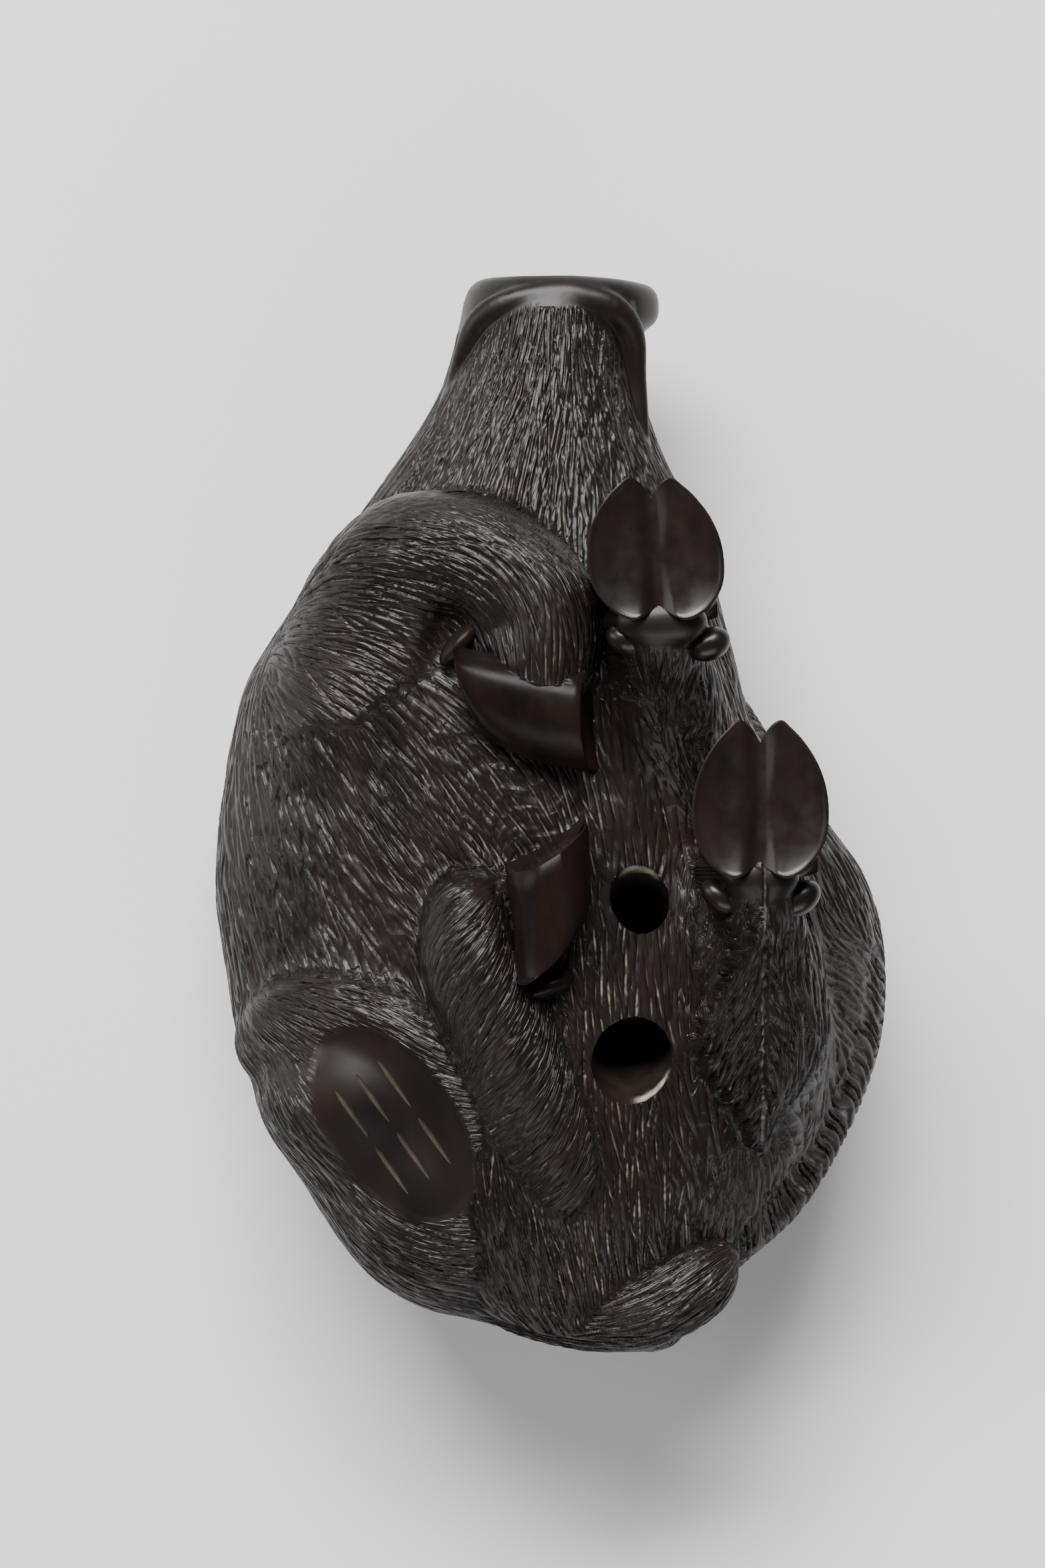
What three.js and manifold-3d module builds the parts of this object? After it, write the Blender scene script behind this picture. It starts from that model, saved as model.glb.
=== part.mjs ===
// A netsuke carved from one piece of dark wood: a wild boar lying on its back with its legs folded.
// Millimetres. The snout points to +Y, the belly to +Z, and the back rests on a small flat spot at Z = 0.

import * as THREE from 'three';
import { mergeVertices } from 'three/addons/utils/BufferGeometryUtils.js';
import Module from 'manifold-3d';

// Trunk and head, as oval sections across Y: place, left edge, right edge, belly height, back height.
const trunkRows = [
  [-25.0, 2.1, 4.9, 13.2, 11.2],
  [-24.6, 0.4, 5.7, 14.0, 9.6],
  [-23.7, -2.5, 6.5, 14.6, 7.0],
  [-22.3, -5.3, 7.6, 15.3, 4.5],
  [-18.0, -10.5, 11.3, 16.8, 0.9],
  [-11.8, -14.1, 14.8, 17.6, -0.1],
  [-5.6, -15.4, 15.3, 17.8, -0.2],
  [-2.5, -15.6, 14.4, 17.9, -0.2],
  [0.6, -15.3, 12.0, 18.0, -0.1],
  [3.7, -14.8, 9.6, 18.0, 0.0],
  [6.8, -13.8, 8.7, 17.6, 0.3],
  [13.0, -9.5, 6.9, 15.9, 1.3],
  [19.1, -5.4, 4.4, 14.0, 2.6],
  [24.1, -3.9, 4.3, 12.4, 4.4],
];
const backFlat = 0.35;

// Rounded limbs, each a line of x, y, z and radius.
const foreleg = [
  [-8.8, 4.1, 11.6, 4.6],
  [-8.3, 8.3, 13.2, 3.8],
  [-6.6, 11.5, 15.6, 3.1],
  [-3.9, 11.9, 17.0, 2.7],
  [-1.3, 10.7, 17.8, 2.5],
  [0.0, 9.0, 18.2, 2.2],
  [-0.3, 7.0, 18.1, 1.95],
];
const innerForearm = [
  [-8.2, 5.5, 13.6, 3.4],
  [-5.4, 8.2, 14.8, 3.1],
  [-2.5, 9.0, 16.2, 2.8],
  [-0.8, 7.9, 17.0, 2.3],
];
const haunchRidge = [
  [-13.0, -10.7, 11.4, 1.6],
  [-11.7, -9.3, 13.2, 1.7],
  [-9.4, -9.0, 14.6, 1.8],
  [-6.8, -9.8, 15.3, 1.9],
  [-4.9, -11.8, 15.6, 2.0],
  [-3.7, -14.4, 15.3, 1.9],
  [-2.8, -17.5, 14.4, 1.7],
];
const shank = [
  [-3.8, -4.7, 18.0, 1.85],
  [-3.7, -6.6, 18.1, 2.2],
  [-2.5, -9.3, 17.6, 2.3],
  [-1.0, -12.6, 16.9, 2.3],
  [0.3, -15.8, 15.8, 2.2],
  [1.6, -18.3, 14.6, 1.6],
  [3.4, -19.3, 13.8, 0.6],
];
const rightForeleg = [
  [5.1, 7.0, 16.6, 2.2],
  [5.3, 4.9, 16.4, 2.7],
  [5.6, 2.1, 14.6, 3.2],
];
const rightHindLeg = [
  [9.5, -4.2, 14.8, 2.4],
  [9.8, -7.1, 15.6, 2.7],
  [10.1, -10.5, 14.6, 2.7],
  [10.0, -14.2, 12.4, 1.9],
];
const spineRidge = [
  [1.1, 14.4, 2.6, 1.5],
  [4.9, 9.1, 3.7, 1.6],
  [8.9, 2.8, 5.9, 1.6],
  [12.2, -2.3, 6.4, 1.6],
  [13.9, -6.6, 8.6, 1.55],
  [13.4, -11.8, 9.8, 1.55],
  [10.9, -17.2, 10.4, 1.4],
  [7.8, -20.4, 11.4, 1.1],
];
const forePastern = [
  [5.3, 4.6, 16.0, 2.6],
  [5.1, 6.6, 18.0, 2.1],
  [4.9, 8.3, 19.6, 1.9],
  [4.8, 10.2, 19.6, 1.6],
];
const hindPastern = [
  [9.9, -7.6, 16.0, 2.4],
  [9.7, -5.4, 17.7, 2.0],
  [9.5, -3.6, 18.7, 1.9],
  [9.5, -1.4, 18.6, 1.6],
];
const tail = [
  [-2.7, -22.4, 11.6, 1.2],
  [0.4, -22.9, 12.6, 1.8],
  [3.8, -22.6, 13.6, 2.15],
  [6.6, -21.7, 13.9, 1.8],
  [7.9, -20.6, 13.9, 0.8],
];
const lipBand = [
  [-3.8, 21.4, 11.0, 0.5],
  [-3.2, 22.8, 11.4, 0.65],
  [-1.8, 23.6, 11.8, 0.7],
  [0.6, 23.9, 12.0, 0.7],
  [2.8, 23.4, 11.8, 0.7],
  [3.7, 22.2, 11.2, 0.65],
  [3.9, 20.2, 10.7, 0.55],
  [4.2, 17.6, 10.7, 0.4],
];
const leftEar = [
  [-2.3, 15.6, 1.7, 0.8],
  [-4.3, 12.9, 1.6, 1.9],
  [-7.2, 9.2, 2.2, 0.4],
];
const rightEar = [
  [3.2, 15.8, 2.9, 0.8],
  [4.9, 13.2, 4.4, 1.8],
  [6.9, 9.6, 5.6, 0.4],
];

// Feathered locks of the right hock, fanning from one root: tip x, y, z and half width.
const lockRoot = [9.7, -5.0, 18.6];
const lockTips = [
  [6.6, -11.3, 16.5, 1.15],
  [7.6, -13.2, 16.0, 1.15],
  [9.2, -15.4, 14.9, 1.25],
  [11.3, -13.9, 13.8, 1.3],
  [12.7, -11.4, 13.3, 1.35],
];
const lockTipRadius = 0.25;

// Rounded masses: centre, half sizes, turn about Z in degrees.
const thigh = { centre: [-8.6, -13.0, 10.6], half: [5.2, 4.6, 6.3], turn: -30 };
const rump = { centre: [-5.3, -17.6, 9.8], half: [6.3, 4.9, 6.6], turn: -50 };
const elbowHollow = { centre: [-5.0, 7.6, 18.9], half: [1.2, 1.9, 1.7], turn: -25 };
const foreHeel = { centre: [5.0, 8.7, 20.9], half: [2.1, 1.2, 1.0], turn: 0 };
const hindHeel = { centre: [9.5, -2.9, 19.9], half: [1.8, 1.2, 1.0], turn: 0 };
const leftEye = { centre: [-5.5, 16.6, 3.9], half: [0.8, 0.5, 0.5], turn: 60 };
const rightEye = { centre: [3.8, 16.6, 3.8], half: [0.8, 0.5, 0.5], turn: -60 };
const snout = {
  centre: [0.6, 23.7, 8.8],
  halfWidth: 4.45,
  halfHeight: 3.5,
  halfThickness: 1.25,
  crown: 0.014,
};

// Cloven hooves: heel, then the ways of the toe, of the leg and of the outer claw, and their sizes.
const hooves = [
  {
    heel: [4.9, 8.9, 22.2],
    toe: [-0.07, 1, 0.03],
    leg: [0, 0, -1],
    side: [1, 0, 0],
    size: [6.35, 4.0, 3.1],
  },
  {
    heel: [9.5, -2.8, 21.2],
    toe: [0, 1, 0.02],
    leg: [0, 0, -1],
    side: [1, 0, 0],
    size: [7.05, 4.2, 3.1],
  },
  {
    heel: [1.95, 6.5, 18.3],
    toe: [0, -1, 0],
    leg: [-1, 0.16, 0],
    side: [-0.3, 0, 1],
    size: [4.6, 5.9, 2.3],
  },
  {
    heel: [-1.9, -2.3, 18.5],
    toe: [0.86, 0.51, 0],
    leg: [0.05, -1, 0],
    side: [0.18, -0.34, 1],
    size: [4.05, 5.0, 2.2],
  },
];

// One claw's rim seen from below: places along the hoof and out from its cleft, from the heel to the toe.
const clawRim = [
  [0.09, 0],
  [0.01, 0.2],
  [-0.02, 0.42],
  [0.05, 0.7],
  [0.2, 0.93],
  [0.36, 1],
  [0.55, 0.97],
  [0.72, 0.84],
  [0.86, 0.64],
  [0.95, 0.45],
  [1, 0.3],
  [0.95, 0.13],
  [0.85, 0],
];
const wallSquareness = 0.6;
const trough = { depth: 0.5, half: 1.0 };
const soleHollow = 0.34;
const soleShrinks = [0.95, 0.8, 0.55, 0.25];
const dewclaws = [
  { centre: [3.4, 7.9, 20.3], half: [0.95, 0.7, 0.7], turn: -25 },
  { centre: [7.2, 7.7, 20.1], half: [1.0, 0.75, 0.7], turn: 25 },
  { centre: [7.7, -3.8, 19.4], half: [1.0, 0.65, 0.7], turn: -40 },
  { centre: [11.3, -3.9, 19.1], half: [1.1, 0.75, 0.7], turn: 35 },
  { centre: [-4.2, 7.7, 18.0], half: [1.25, 0.55, 0.85], turn: 50 },
  { centre: [-0.4, -8.0, 18.0], half: [1.5, 0.55, 0.85], turn: 20 },
];

// Two cord holes that slant together under the belly: mouth, inner end, radius at each.
const cordHoles = [
  { mouth: [3.6, -12.7, 20.0], end: [4.0, -8.2, 11.6], radii: [2.05, 1.4] },
  { mouth: [4.1, -2.5, 20.0], end: [4.0, -7.2, 11.6], radii: [1.4, 1.3] },
];
const nostrils = [[-0.7, 25.0, 8.9], [1.9, 25.0, 8.9]];
const nostrilHalf = [0.75, 0.5, 1.0];

// Smooth oval on the thigh, with two rows of shallow strokes.
const reserve = { centre: [-7.3, -14.3], half: [5.0, 2.9], turn: -55, recess: 0.25 };
const strokeRows = [1.7, -1.5];
const strokesPerRow = 3;
const stroke = { length: 2.6, width: 0.32, depth: 0.35, spacing: 1.2 };

// Shallow flutes of the coat.
const flute = { pitch: 2.7, depth: 0.2 };
const mane = { pitch: 2.4, depth: 0.3 };

// Fineness of the faceted surface.
const stations = 49;
const rays = 48;
const rayStart = { across: 0.1, down: 0.6, crowding: 0.4 };
const wallRings = 4;

const smoothMin = (a, b, blend) => {
  const h = THREE.MathUtils.clamp(0.5 + (0.5 * (b - a)) / blend, 0, 1);
  return b + (a - b) * h - blend * h * (1 - h);
};
const smoothMax = (a, b, blend) => -smoothMin(-a, -b, blend);

// Points of a smooth curve through rows of numbers, several to each span.
function spline(rows, perSpan = 6) {
  const mirror = (a, b) => a.map((v, i) => 2 * v - b[i]);
  const last = rows.length - 1;
  const ends = [mirror(rows[0], rows[1]), ...rows, mirror(rows[last], rows[last - 1])];
  const points = [];
  for (let i = 0; i < last; i += 1) {
    for (let j = 0; j < perSpan; j += 1) {
      const t = j / perSpan;
      const [a, b, c, d] = ends.slice(i, i + 4);
      points.push(b.map((v, n) => 0.5 * (2 * v + (c[n] - a[n]) * t
        + (2 * a[n] - 5 * v + 4 * c[n] - d[n]) * t ** 2
        + (3 * v - a[n] - 3 * c[n] + d[n]) * t ** 3)));
    }
  }
  points.push(rows[last]);
  return points;
}

// Distance to a limb: a chain of tapering rounded links along its curve.
function limb(rows) {
  const points = spline(rows);
  return (x, y, z) => {
    let best = Infinity;
    for (let i = 1; i < points.length; i += 1) {
      const [ax, ay, az, ar] = points[i - 1];
      const [bx, by, bz, br] = points[i];
      const [dx, dy, dz] = [bx - ax, by - ay, bz - az];
      const along = ((x - ax) * dx + (y - ay) * dy + (z - az) * dz) / (dx * dx + dy * dy + dz * dz);
      const h = THREE.MathUtils.clamp(along, 0, 1);
      const off = Math.hypot(x - ax - h * dx, y - ay - h * dy, z - az - h * dz);
      best = Math.min(best, off - ar - h * (br - ar));
    }
    return best;
  };
}

function mass({ centre, half, turn }) {
  const [cos, sin] = [Math.cos(turn * THREE.MathUtils.DEG2RAD), Math.sin(turn * THREE.MathUtils.DEG2RAD)];
  return (px, py, pz) => {
    const [dx, dy] = [px - centre[0], py - centre[1]];
    const x = (dx * cos + dy * sin) / half[0];
    const y = (dy * cos - dx * sin) / half[1];
    const z = (pz - centre[2]) / half[2];
    const reach = Math.hypot(x, y, z);
    return (reach * (reach - 1)) / (Math.hypot(x / half[0], y / half[1], z / half[2]) + 1e-9);
  };
}

// Centre and half sizes of the trunk's oval at one place along Y.
function trunkSection(y) {
  let i = 0;
  while (i < trunkRows.length - 2 && y > trunkRows[i + 1][0]) {
    i += 1;
  }
  const slope = (n, k) => {
    const [low, high] = [Math.max(n - 1, 0), Math.min(n + 1, trunkRows.length - 1)];
    return (trunkRows[high][k] - trunkRows[low][k]) / (trunkRows[high][0] - trunkRows[low][0]);
  };
  const [a, b] = [trunkRows[i], trunkRows[i + 1]];
  const step = b[0] - a[0];
  const t = THREE.MathUtils.clamp((y - a[0]) / step, 0, 1);
  const [left, right, belly, back] = [1, 2, 3, 4].map((k) => (
    (2 * t ** 3 - 3 * t ** 2 + 1) * a[k] + (t ** 3 - 2 * t ** 2 + t) * step * slope(i, k)
    + (3 * t ** 2 - 2 * t ** 3) * b[k] + (t ** 3 - t ** 2) * step * slope(i + 1, k)));
  return {
    x: (left + right) / 2,
    z: (belly + back) / 2,
    halfWidth: (right - left) / 2,
    halfHeight: (belly - back) / 2,
  };
}

const tailEnd = trunkRows[0][0];
const snoutEnd = trunkRows[trunkRows.length - 1][0];

function oval(x, z, halfWidth, halfHeight) {
  const reach = Math.hypot(x / halfWidth, z / halfHeight);
  return (reach * (reach - 1)) / (Math.hypot(x / halfWidth ** 2, z / halfHeight ** 2) + 1e-9);
}

function trunk(x, y, z) {
  const section = trunkSection(y);
  const around = oval(x - section.x, z - section.z, section.halfWidth, section.halfHeight);
  return smoothMax(around, Math.max(y - snoutEnd, tailEnd - y), 0.6);
}

function snoutDisc(px, py, pz) {
  const [x, y, z] = [px - snout.centre[0], py - snout.centre[1], pz - snout.centre[2]];
  const around = oval(x, z, snout.halfWidth, snout.halfHeight);
  return smoothMax(around, Math.abs(y + 0.03 * x) - snout.halfThickness + snout.crown * x * x, 0.9);
}

// Forms in the order they grow out of the trunk, each with the softness of its joint.
const grown = [
  [limb(foreleg), 1.3],
  [limb(innerForearm), 1.6],
  [mass(thigh), 0.9],
  [mass(rump), 1.8],
  [limb(haunchRidge), 1.0],
  [limb(shank), 0.9],
  [limb(rightForeleg), 1.6],
  [limb(rightHindLeg), 1.2],
  [limb(spineRidge), 0.8],
  [snoutDisc, 0.5],
];
const hollow = mass(elbowHollow);

function boarDistance(x, y, z) {
  let distance = trunk(x, y, z);
  grown.forEach(([shape, blend]) => {
    distance = smoothMin(distance, shape(x, y, z), blend);
  });
  return smoothMax(distance, -hollow(x, y, z), 0.9);
}

// Place within the smooth oval: 1 on its edge.
function reserveReach(x, y) {
  const angle = reserve.turn * THREE.MathUtils.DEG2RAD;
  const [dx, dy] = [x - reserve.centre[0], y - reserve.centre[1]];
  const along = dx * Math.cos(angle) + dy * Math.sin(angle);
  const across = dy * Math.cos(angle) - dx * Math.sin(angle);
  return Math.hypot(along / reserve.half[0], across / reserve.half[1]);
}

// Depth of the coat's flutes: they run toward the tail and the belly's middle, and round the smooth oval.
const spineLimb = limb(spineRidge);
const legLimbs = [foreleg, shank, haunchRidge].map(limb);
function coatDepth(x, y, z) {
  const reach = reserveReach(x, y);
  if (z > trunkSection(y).z && reach < 1) {
    return reserve.recess;
  }
  if (spineLimb(x, y, z) < 0.5) {
    return mane.depth * (0.5 + 0.5 * Math.cos((2 * Math.PI * (y - 0.35 * z)) / mane.pitch));
  }
  if (y > 20.5 || z < 2 || legLimbs.some((leg) => leg(x, y, z) < 0.3)) {
    return 0;
  }
  const aroundOval = z > trunkSection(y).z && reach < 1.9;
  const across = aroundOval ? reach * reserve.half[1] : 0.75 * Math.abs(x - 3) - 0.66 * Math.min(y, 12);
  return flute.depth * (0.5 + 0.5 * Math.cos((2 * Math.PI * across) / flute.pitch));
}

// Faceted skin from rings of points, closed at both ends by a point.
function ringsToGeometry(rings, firstEnd, lastEnd) {
  const count = rings[0].length;
  const points = [...rings.flat(), firstEnd, lastEnd];
  const index = [];
  const firstTip = points.length - 2;
  const lastTip = points.length - 1;
  const lastRing = (rings.length - 1) * count;
  for (let i = 0; i < count; i += 1) {
    const next = (i + 1) % count;
    for (let j = 0; j < rings.length - 1; j += 1) {
      const [a, b] = [j * count + i, j * count + next];
      index.push(a, a + count, b + count, a, b + count, b);
    }
    index.push(i, next, firstTip, lastRing + next, lastRing + i, lastTip);
  }
  const geometry = new THREE.BufferGeometry();
  geometry.setAttribute('position', new THREE.Float32BufferAttribute(points.flat(), 3));
  geometry.setIndex(index);
  return geometry;
}

// Body: at each station rays go out from low in the trunk, through points on its oval, to the carved
// surface. The points are closest together on the belly.
function bodyGeometry() {
  const [first, last] = [tailEnd + 0.05, snout.centre[1] + snout.halfThickness - 0.06];
  const rings = [];
  const middles = [];
  for (let j = 0; j < stations; j += 1) {
    const v = j / (stations - 1);
    const y = THREE.MathUtils.lerp(first, last, 0.6 * v + 0.2 * (1 - Math.cos(Math.PI * v)));
    const section = trunkSection(y);
    const x = section.x + rayStart.across * section.halfWidth;
    const z = section.z - rayStart.down * section.halfHeight;
    middles.push([x, y, z]);
    const ring = [];
    for (let i = 0; i < rays; i += 1) {
      const turn = (2 * Math.PI * i) / rays;
      const angle = turn + rayStart.crowding * Math.cos(turn);
      const towardX = section.x + section.halfWidth * Math.cos(angle) - x;
      const towardZ = section.z + section.halfHeight * Math.sin(angle) - z;
      const toward = Math.hypot(towardX, towardZ);
      const [dx, dz] = [towardX / toward, towardZ / toward];
      let reach = 26;
      for (let n = 0; n < 90 && reach > 0.1; n += 1) {
        reach -= 0.8 * THREE.MathUtils.clamp(boarDistance(x + reach * dx, y, z + reach * dz), -0.3, 8);
      }
      reach = Math.max(reach - coatDepth(x + reach * dx, y, z + reach * dz), 0.1);
      ring.push([x + reach * dx, y, Math.max(z + reach * dz, backFlat)]);
    }
    rings.push(ring);
  }
  return ringsToGeometry(rings, middles[0], middles[stations - 1]);
}

// A limb as a solid of its own: rings along its curve, flatter than round where asked.
function limbGeometry(rows, sides, perSpan, flatness = 1) {
  const points = spline(rows, perSpan);
  const middles = points.map((point) => new THREE.Vector3(...point));
  const ways = middles.map((_, i) => (
    middles[Math.min(i + 1, middles.length - 1)].clone().sub(middles[Math.max(i - 1, 0)]).normalize()));
  const rings = middles.map((middle, i) => {
    const across = ways[i].clone().cross(new THREE.Vector3(0, 0, 1)).normalize();
    const upward = across.clone().cross(ways[i]).multiplyScalar(flatness);
    const ring = [];
    for (let n = 0; n < sides; n += 1) {
      const angle = (2 * Math.PI * n) / sides;
      ring.push(middle.clone().addScaledVector(across, points[i][3] * Math.cos(angle))
        .addScaledVector(upward, points[i][3] * Math.sin(angle)).toArray());
    }
    return ring;
  });
  const tip = (i, side) => middles[i].clone().addScaledVector(ways[i], side * 0.6 * points[i][3]).toArray();
  return ringsToGeometry(rings, tip(0, -1), tip(middles.length - 1, 1));
}

// Depth of the trough between two claws, by the distance from the cleft.
function troughDepth(out) {
  return trough.depth * (0.5 + 0.5 * Math.cos(Math.PI * Math.min(Math.abs(out) / trough.half, 1)));
}

// One hoof: rings of its wall from the leg down to the rim, then the hollows of its two soles.
function hoofGeometry({ heel, toe, leg, side, size }) {
  const [length, height, half] = size;
  const origin = new THREE.Vector3(...heel);
  const [forward, up, outward] = [toe, leg, side].map((way) => new THREE.Vector3(...way).normalize());
  const otherClaw = clawRim.slice(1, -1).toReversed().map(([along, out]) => [along, -out]);
  const outline = [...clawRim, ...otherClaw].map(([along, out]) => [along * length, out * half]);
  const place = (t, u, s) => origin.clone().addScaledVector(forward, t).addScaledVector(up, u)
    .addScaledVector(outward, s).toArray();
  const rings = [];
  for (let j = 0; j < wallRings; j += 1) {
    const angle = (88 * THREE.MathUtils.DEG2RAD) * (1 - j / (wallRings - 1));
    const spread = Math.cos(angle) ** wallSquareness;
    const rise = Math.sin(angle) ** wallSquareness;
    rings.push(outline.map(([t, s]) => {
      const lift = Math.max(height * rise, troughDepth(s));
      return place(t * spread - 0.2 * (1 - spread), lift, s * (1 - 0.12 * rise));
    }));
  }
  const midT = 0.44 * length;
  soleShrinks.forEach((shrink, n) => {
    rings.push(outline.map(([t, s]) => {
      const out = s * shrink;
      const dish = n === 0 ? 0 : soleHollow * (1 - shrink ** 3);
      const depth = dish * THREE.MathUtils.smoothstep(Math.abs(out), 0, 0.5 * half) + troughDepth(out);
      return place(midT + (t - midT) * shrink, depth, out);
    }));
  });
  const top = place(-0.1, height, 0);
  const bottom = place(midT, trough.depth, 0);
  const turned = forward.clone().cross(up).dot(outward) < 0;
  return ringsToGeometry(turned ? rings.map((ring) => ring.toReversed()) : rings, top, bottom);
}

function ellipsoidGeometry({ centre, half, turn }) {
  const geometry = new THREE.SphereGeometry(1, 7, 5);
  geometry.scale(...half).rotateZ(turn * THREE.MathUtils.DEG2RAD).translate(...centre);
  return geometry;
}

function holeGeometry({ mouth, end, radii }) {
  const [from, to] = [new THREE.Vector3(...mouth), new THREE.Vector3(...end)];
  const way = from.clone().sub(to);
  const geometry = new THREE.CylinderGeometry(radii[0], radii[1], way.length(), 20);
  const turn = new THREE.Quaternion().setFromUnitVectors(new THREE.Vector3(0, 1, 0), way.normalize());
  geometry.applyQuaternion(turn).translate(...from.add(to).multiplyScalar(0.5).toArray());
  return geometry;
}

// Height of the carved surface above one place on the belly side.
function surfaceHeight(x, y) {
  let z = 26;
  for (let n = 0; n < 90; n += 1) {
    z -= 0.8 * boarDistance(x, y, z);
  }
  return z - reserve.recess;
}

function strokeGeometries() {
  const angle = reserve.turn * THREE.MathUtils.DEG2RAD;
  const geometries = [];
  strokeRows.forEach((along) => {
    for (let i = 0; i < strokesPerRow; i += 1) {
      const across = (i - (strokesPerRow - 1) / 2) * stroke.spacing;
      const x = reserve.centre[0] + along * Math.cos(angle) - across * Math.sin(angle);
      const y = reserve.centre[1] + along * Math.sin(angle) + across * Math.cos(angle);
      const ends = [-0.5, 0.5].map((side) => {
        const endX = x + side * stroke.length * Math.cos(angle);
        const endY = y + side * stroke.length * Math.sin(angle);
        return new THREE.Vector3(endX, endY, surfaceHeight(endX, endY));
      });
      const way = ends[1].clone().sub(ends[0]);
      const bar = new THREE.BoxGeometry(way.length(), stroke.width, 2 * stroke.depth);
      const lengthwise = new THREE.Vector3(1, 0, 0);
      bar.applyQuaternion(new THREE.Quaternion().setFromUnitVectors(lengthwise, way.clone().normalize()));
      const middle = ends[0].addScaledVector(way, 0.5);
      geometries.push(bar.translate(middle.x, middle.y, surfaceHeight(middle.x, middle.y)));
    }
  });
  return geometries;
}

const wasm = await Module();
wasm.setup();

function solid(geometry) {
  geometry.deleteAttribute('normal');
  geometry.deleteAttribute('uv');
  const merged = mergeVertices(geometry, 1e-4);
  return new wasm.Manifold(new wasm.Mesh({
    numProp: 3,
    vertProperties: new Float32Array(merged.attributes.position.array),
    triVerts: new Uint32Array(merged.index.array),
  }));
}

function carve() {
  let boar = solid(bodyGeometry());
  hooves.forEach((hoof) => {
    boar = boar.add(solid(hoofGeometry(hoof)));
  });
  const locks = lockTips.map(([x, y, z, width]) => [
    [...lockRoot, 0.5],
    [0.45 * x + 0.55 * lockRoot[0], (y + lockRoot[1]) / 2, (z + lockRoot[2]) / 2, width],
    [x, y, z, lockTipRadius],
  ]);
  const raised = [
    ...locks.map((lock) => limbGeometry(lock, 7, 2, 0.8)),
    limbGeometry(tail, 10, 3, 0.85),
    limbGeometry(lipBand, 6, 2, 0.55),
    ...[forePastern, hindPastern].map((pastern) => limbGeometry(pastern, 10, 2)),
    ...[leftEar, rightEar].map((ear) => limbGeometry(ear, 8, 3, 0.45)),
    ...[leftEye, rightEye, foreHeel, hindHeel, ...dewclaws].map((form) => ellipsoidGeometry(form)),
  ];
  raised.forEach((form) => {
    boar = boar.add(solid(form));
  });
  cordHoles.forEach((hole) => {
    boar = boar.subtract(solid(holeGeometry(hole)));
  });
  nostrils.forEach((centre) => {
    boar = boar.subtract(solid(ellipsoidGeometry({ centre, half: nostrilHalf, turn: 0 })));
  });
  strokeGeometries().forEach((bar) => {
    boar = boar.subtract(solid(bar));
  });
  const mesh = boar.getMesh();
  const geometry = new THREE.BufferGeometry();
  geometry.setAttribute('position', new THREE.Float32BufferAttribute(mesh.vertProperties, 3));
  geometry.setIndex([...mesh.triVerts]);
  return geometry;
}

// The origin is under the middle of the carving, on the plane of the flat spot.
const geometry = carve();
geometry.computeBoundingBox();
const middle = geometry.boundingBox.getCenter(new THREE.Vector3());
geometry.translate(-middle.x, -middle.y, -geometry.boundingBox.min.z);
geometry.computeVertexNormals();

const darkWood = new THREE.MeshStandardMaterial({ color: 0x2b2423, roughness: 0.42, metalness: 0 });
const boar = new THREE.Mesh(geometry, darkWood);
boar.name = 'carved_boar';

const netsuke = new THREE.Group();
netsuke.add(boar);

export default netsuke;
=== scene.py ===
import bpy
import numpy as np
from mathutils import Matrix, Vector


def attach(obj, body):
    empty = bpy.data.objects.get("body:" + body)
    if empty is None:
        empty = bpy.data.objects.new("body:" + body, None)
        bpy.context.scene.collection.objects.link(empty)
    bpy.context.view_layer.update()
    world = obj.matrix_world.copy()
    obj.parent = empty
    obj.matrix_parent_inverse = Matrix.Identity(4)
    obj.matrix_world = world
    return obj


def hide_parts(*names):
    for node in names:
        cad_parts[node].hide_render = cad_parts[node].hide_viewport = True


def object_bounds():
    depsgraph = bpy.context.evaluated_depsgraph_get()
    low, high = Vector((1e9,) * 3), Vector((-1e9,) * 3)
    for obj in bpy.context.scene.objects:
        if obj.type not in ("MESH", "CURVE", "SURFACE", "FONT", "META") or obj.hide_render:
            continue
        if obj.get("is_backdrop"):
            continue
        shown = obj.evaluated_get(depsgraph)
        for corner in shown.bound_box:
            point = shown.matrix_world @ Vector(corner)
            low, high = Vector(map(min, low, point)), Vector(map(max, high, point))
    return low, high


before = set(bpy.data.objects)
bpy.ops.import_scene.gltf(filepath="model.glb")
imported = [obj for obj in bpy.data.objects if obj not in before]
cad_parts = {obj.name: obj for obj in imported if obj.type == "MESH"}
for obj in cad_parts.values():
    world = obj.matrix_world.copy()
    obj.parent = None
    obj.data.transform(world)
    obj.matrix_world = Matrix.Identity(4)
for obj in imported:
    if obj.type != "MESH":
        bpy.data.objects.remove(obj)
cad_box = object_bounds()


# The carved boar: a netsuke of a wild boar on its back with folded legs, cut from one block of dark wood.
# The body was carved in the round, the coat engraved hair by hair, the hooves and lips rubbed to a polish.
# Lengths are millimetres in the carver's layout, with the snout to +Y and the belly to +Z.
MM = 0.001
back_flat = 0.35
layout_origin = np.array([0.048, -0.030, back_flat])

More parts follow.
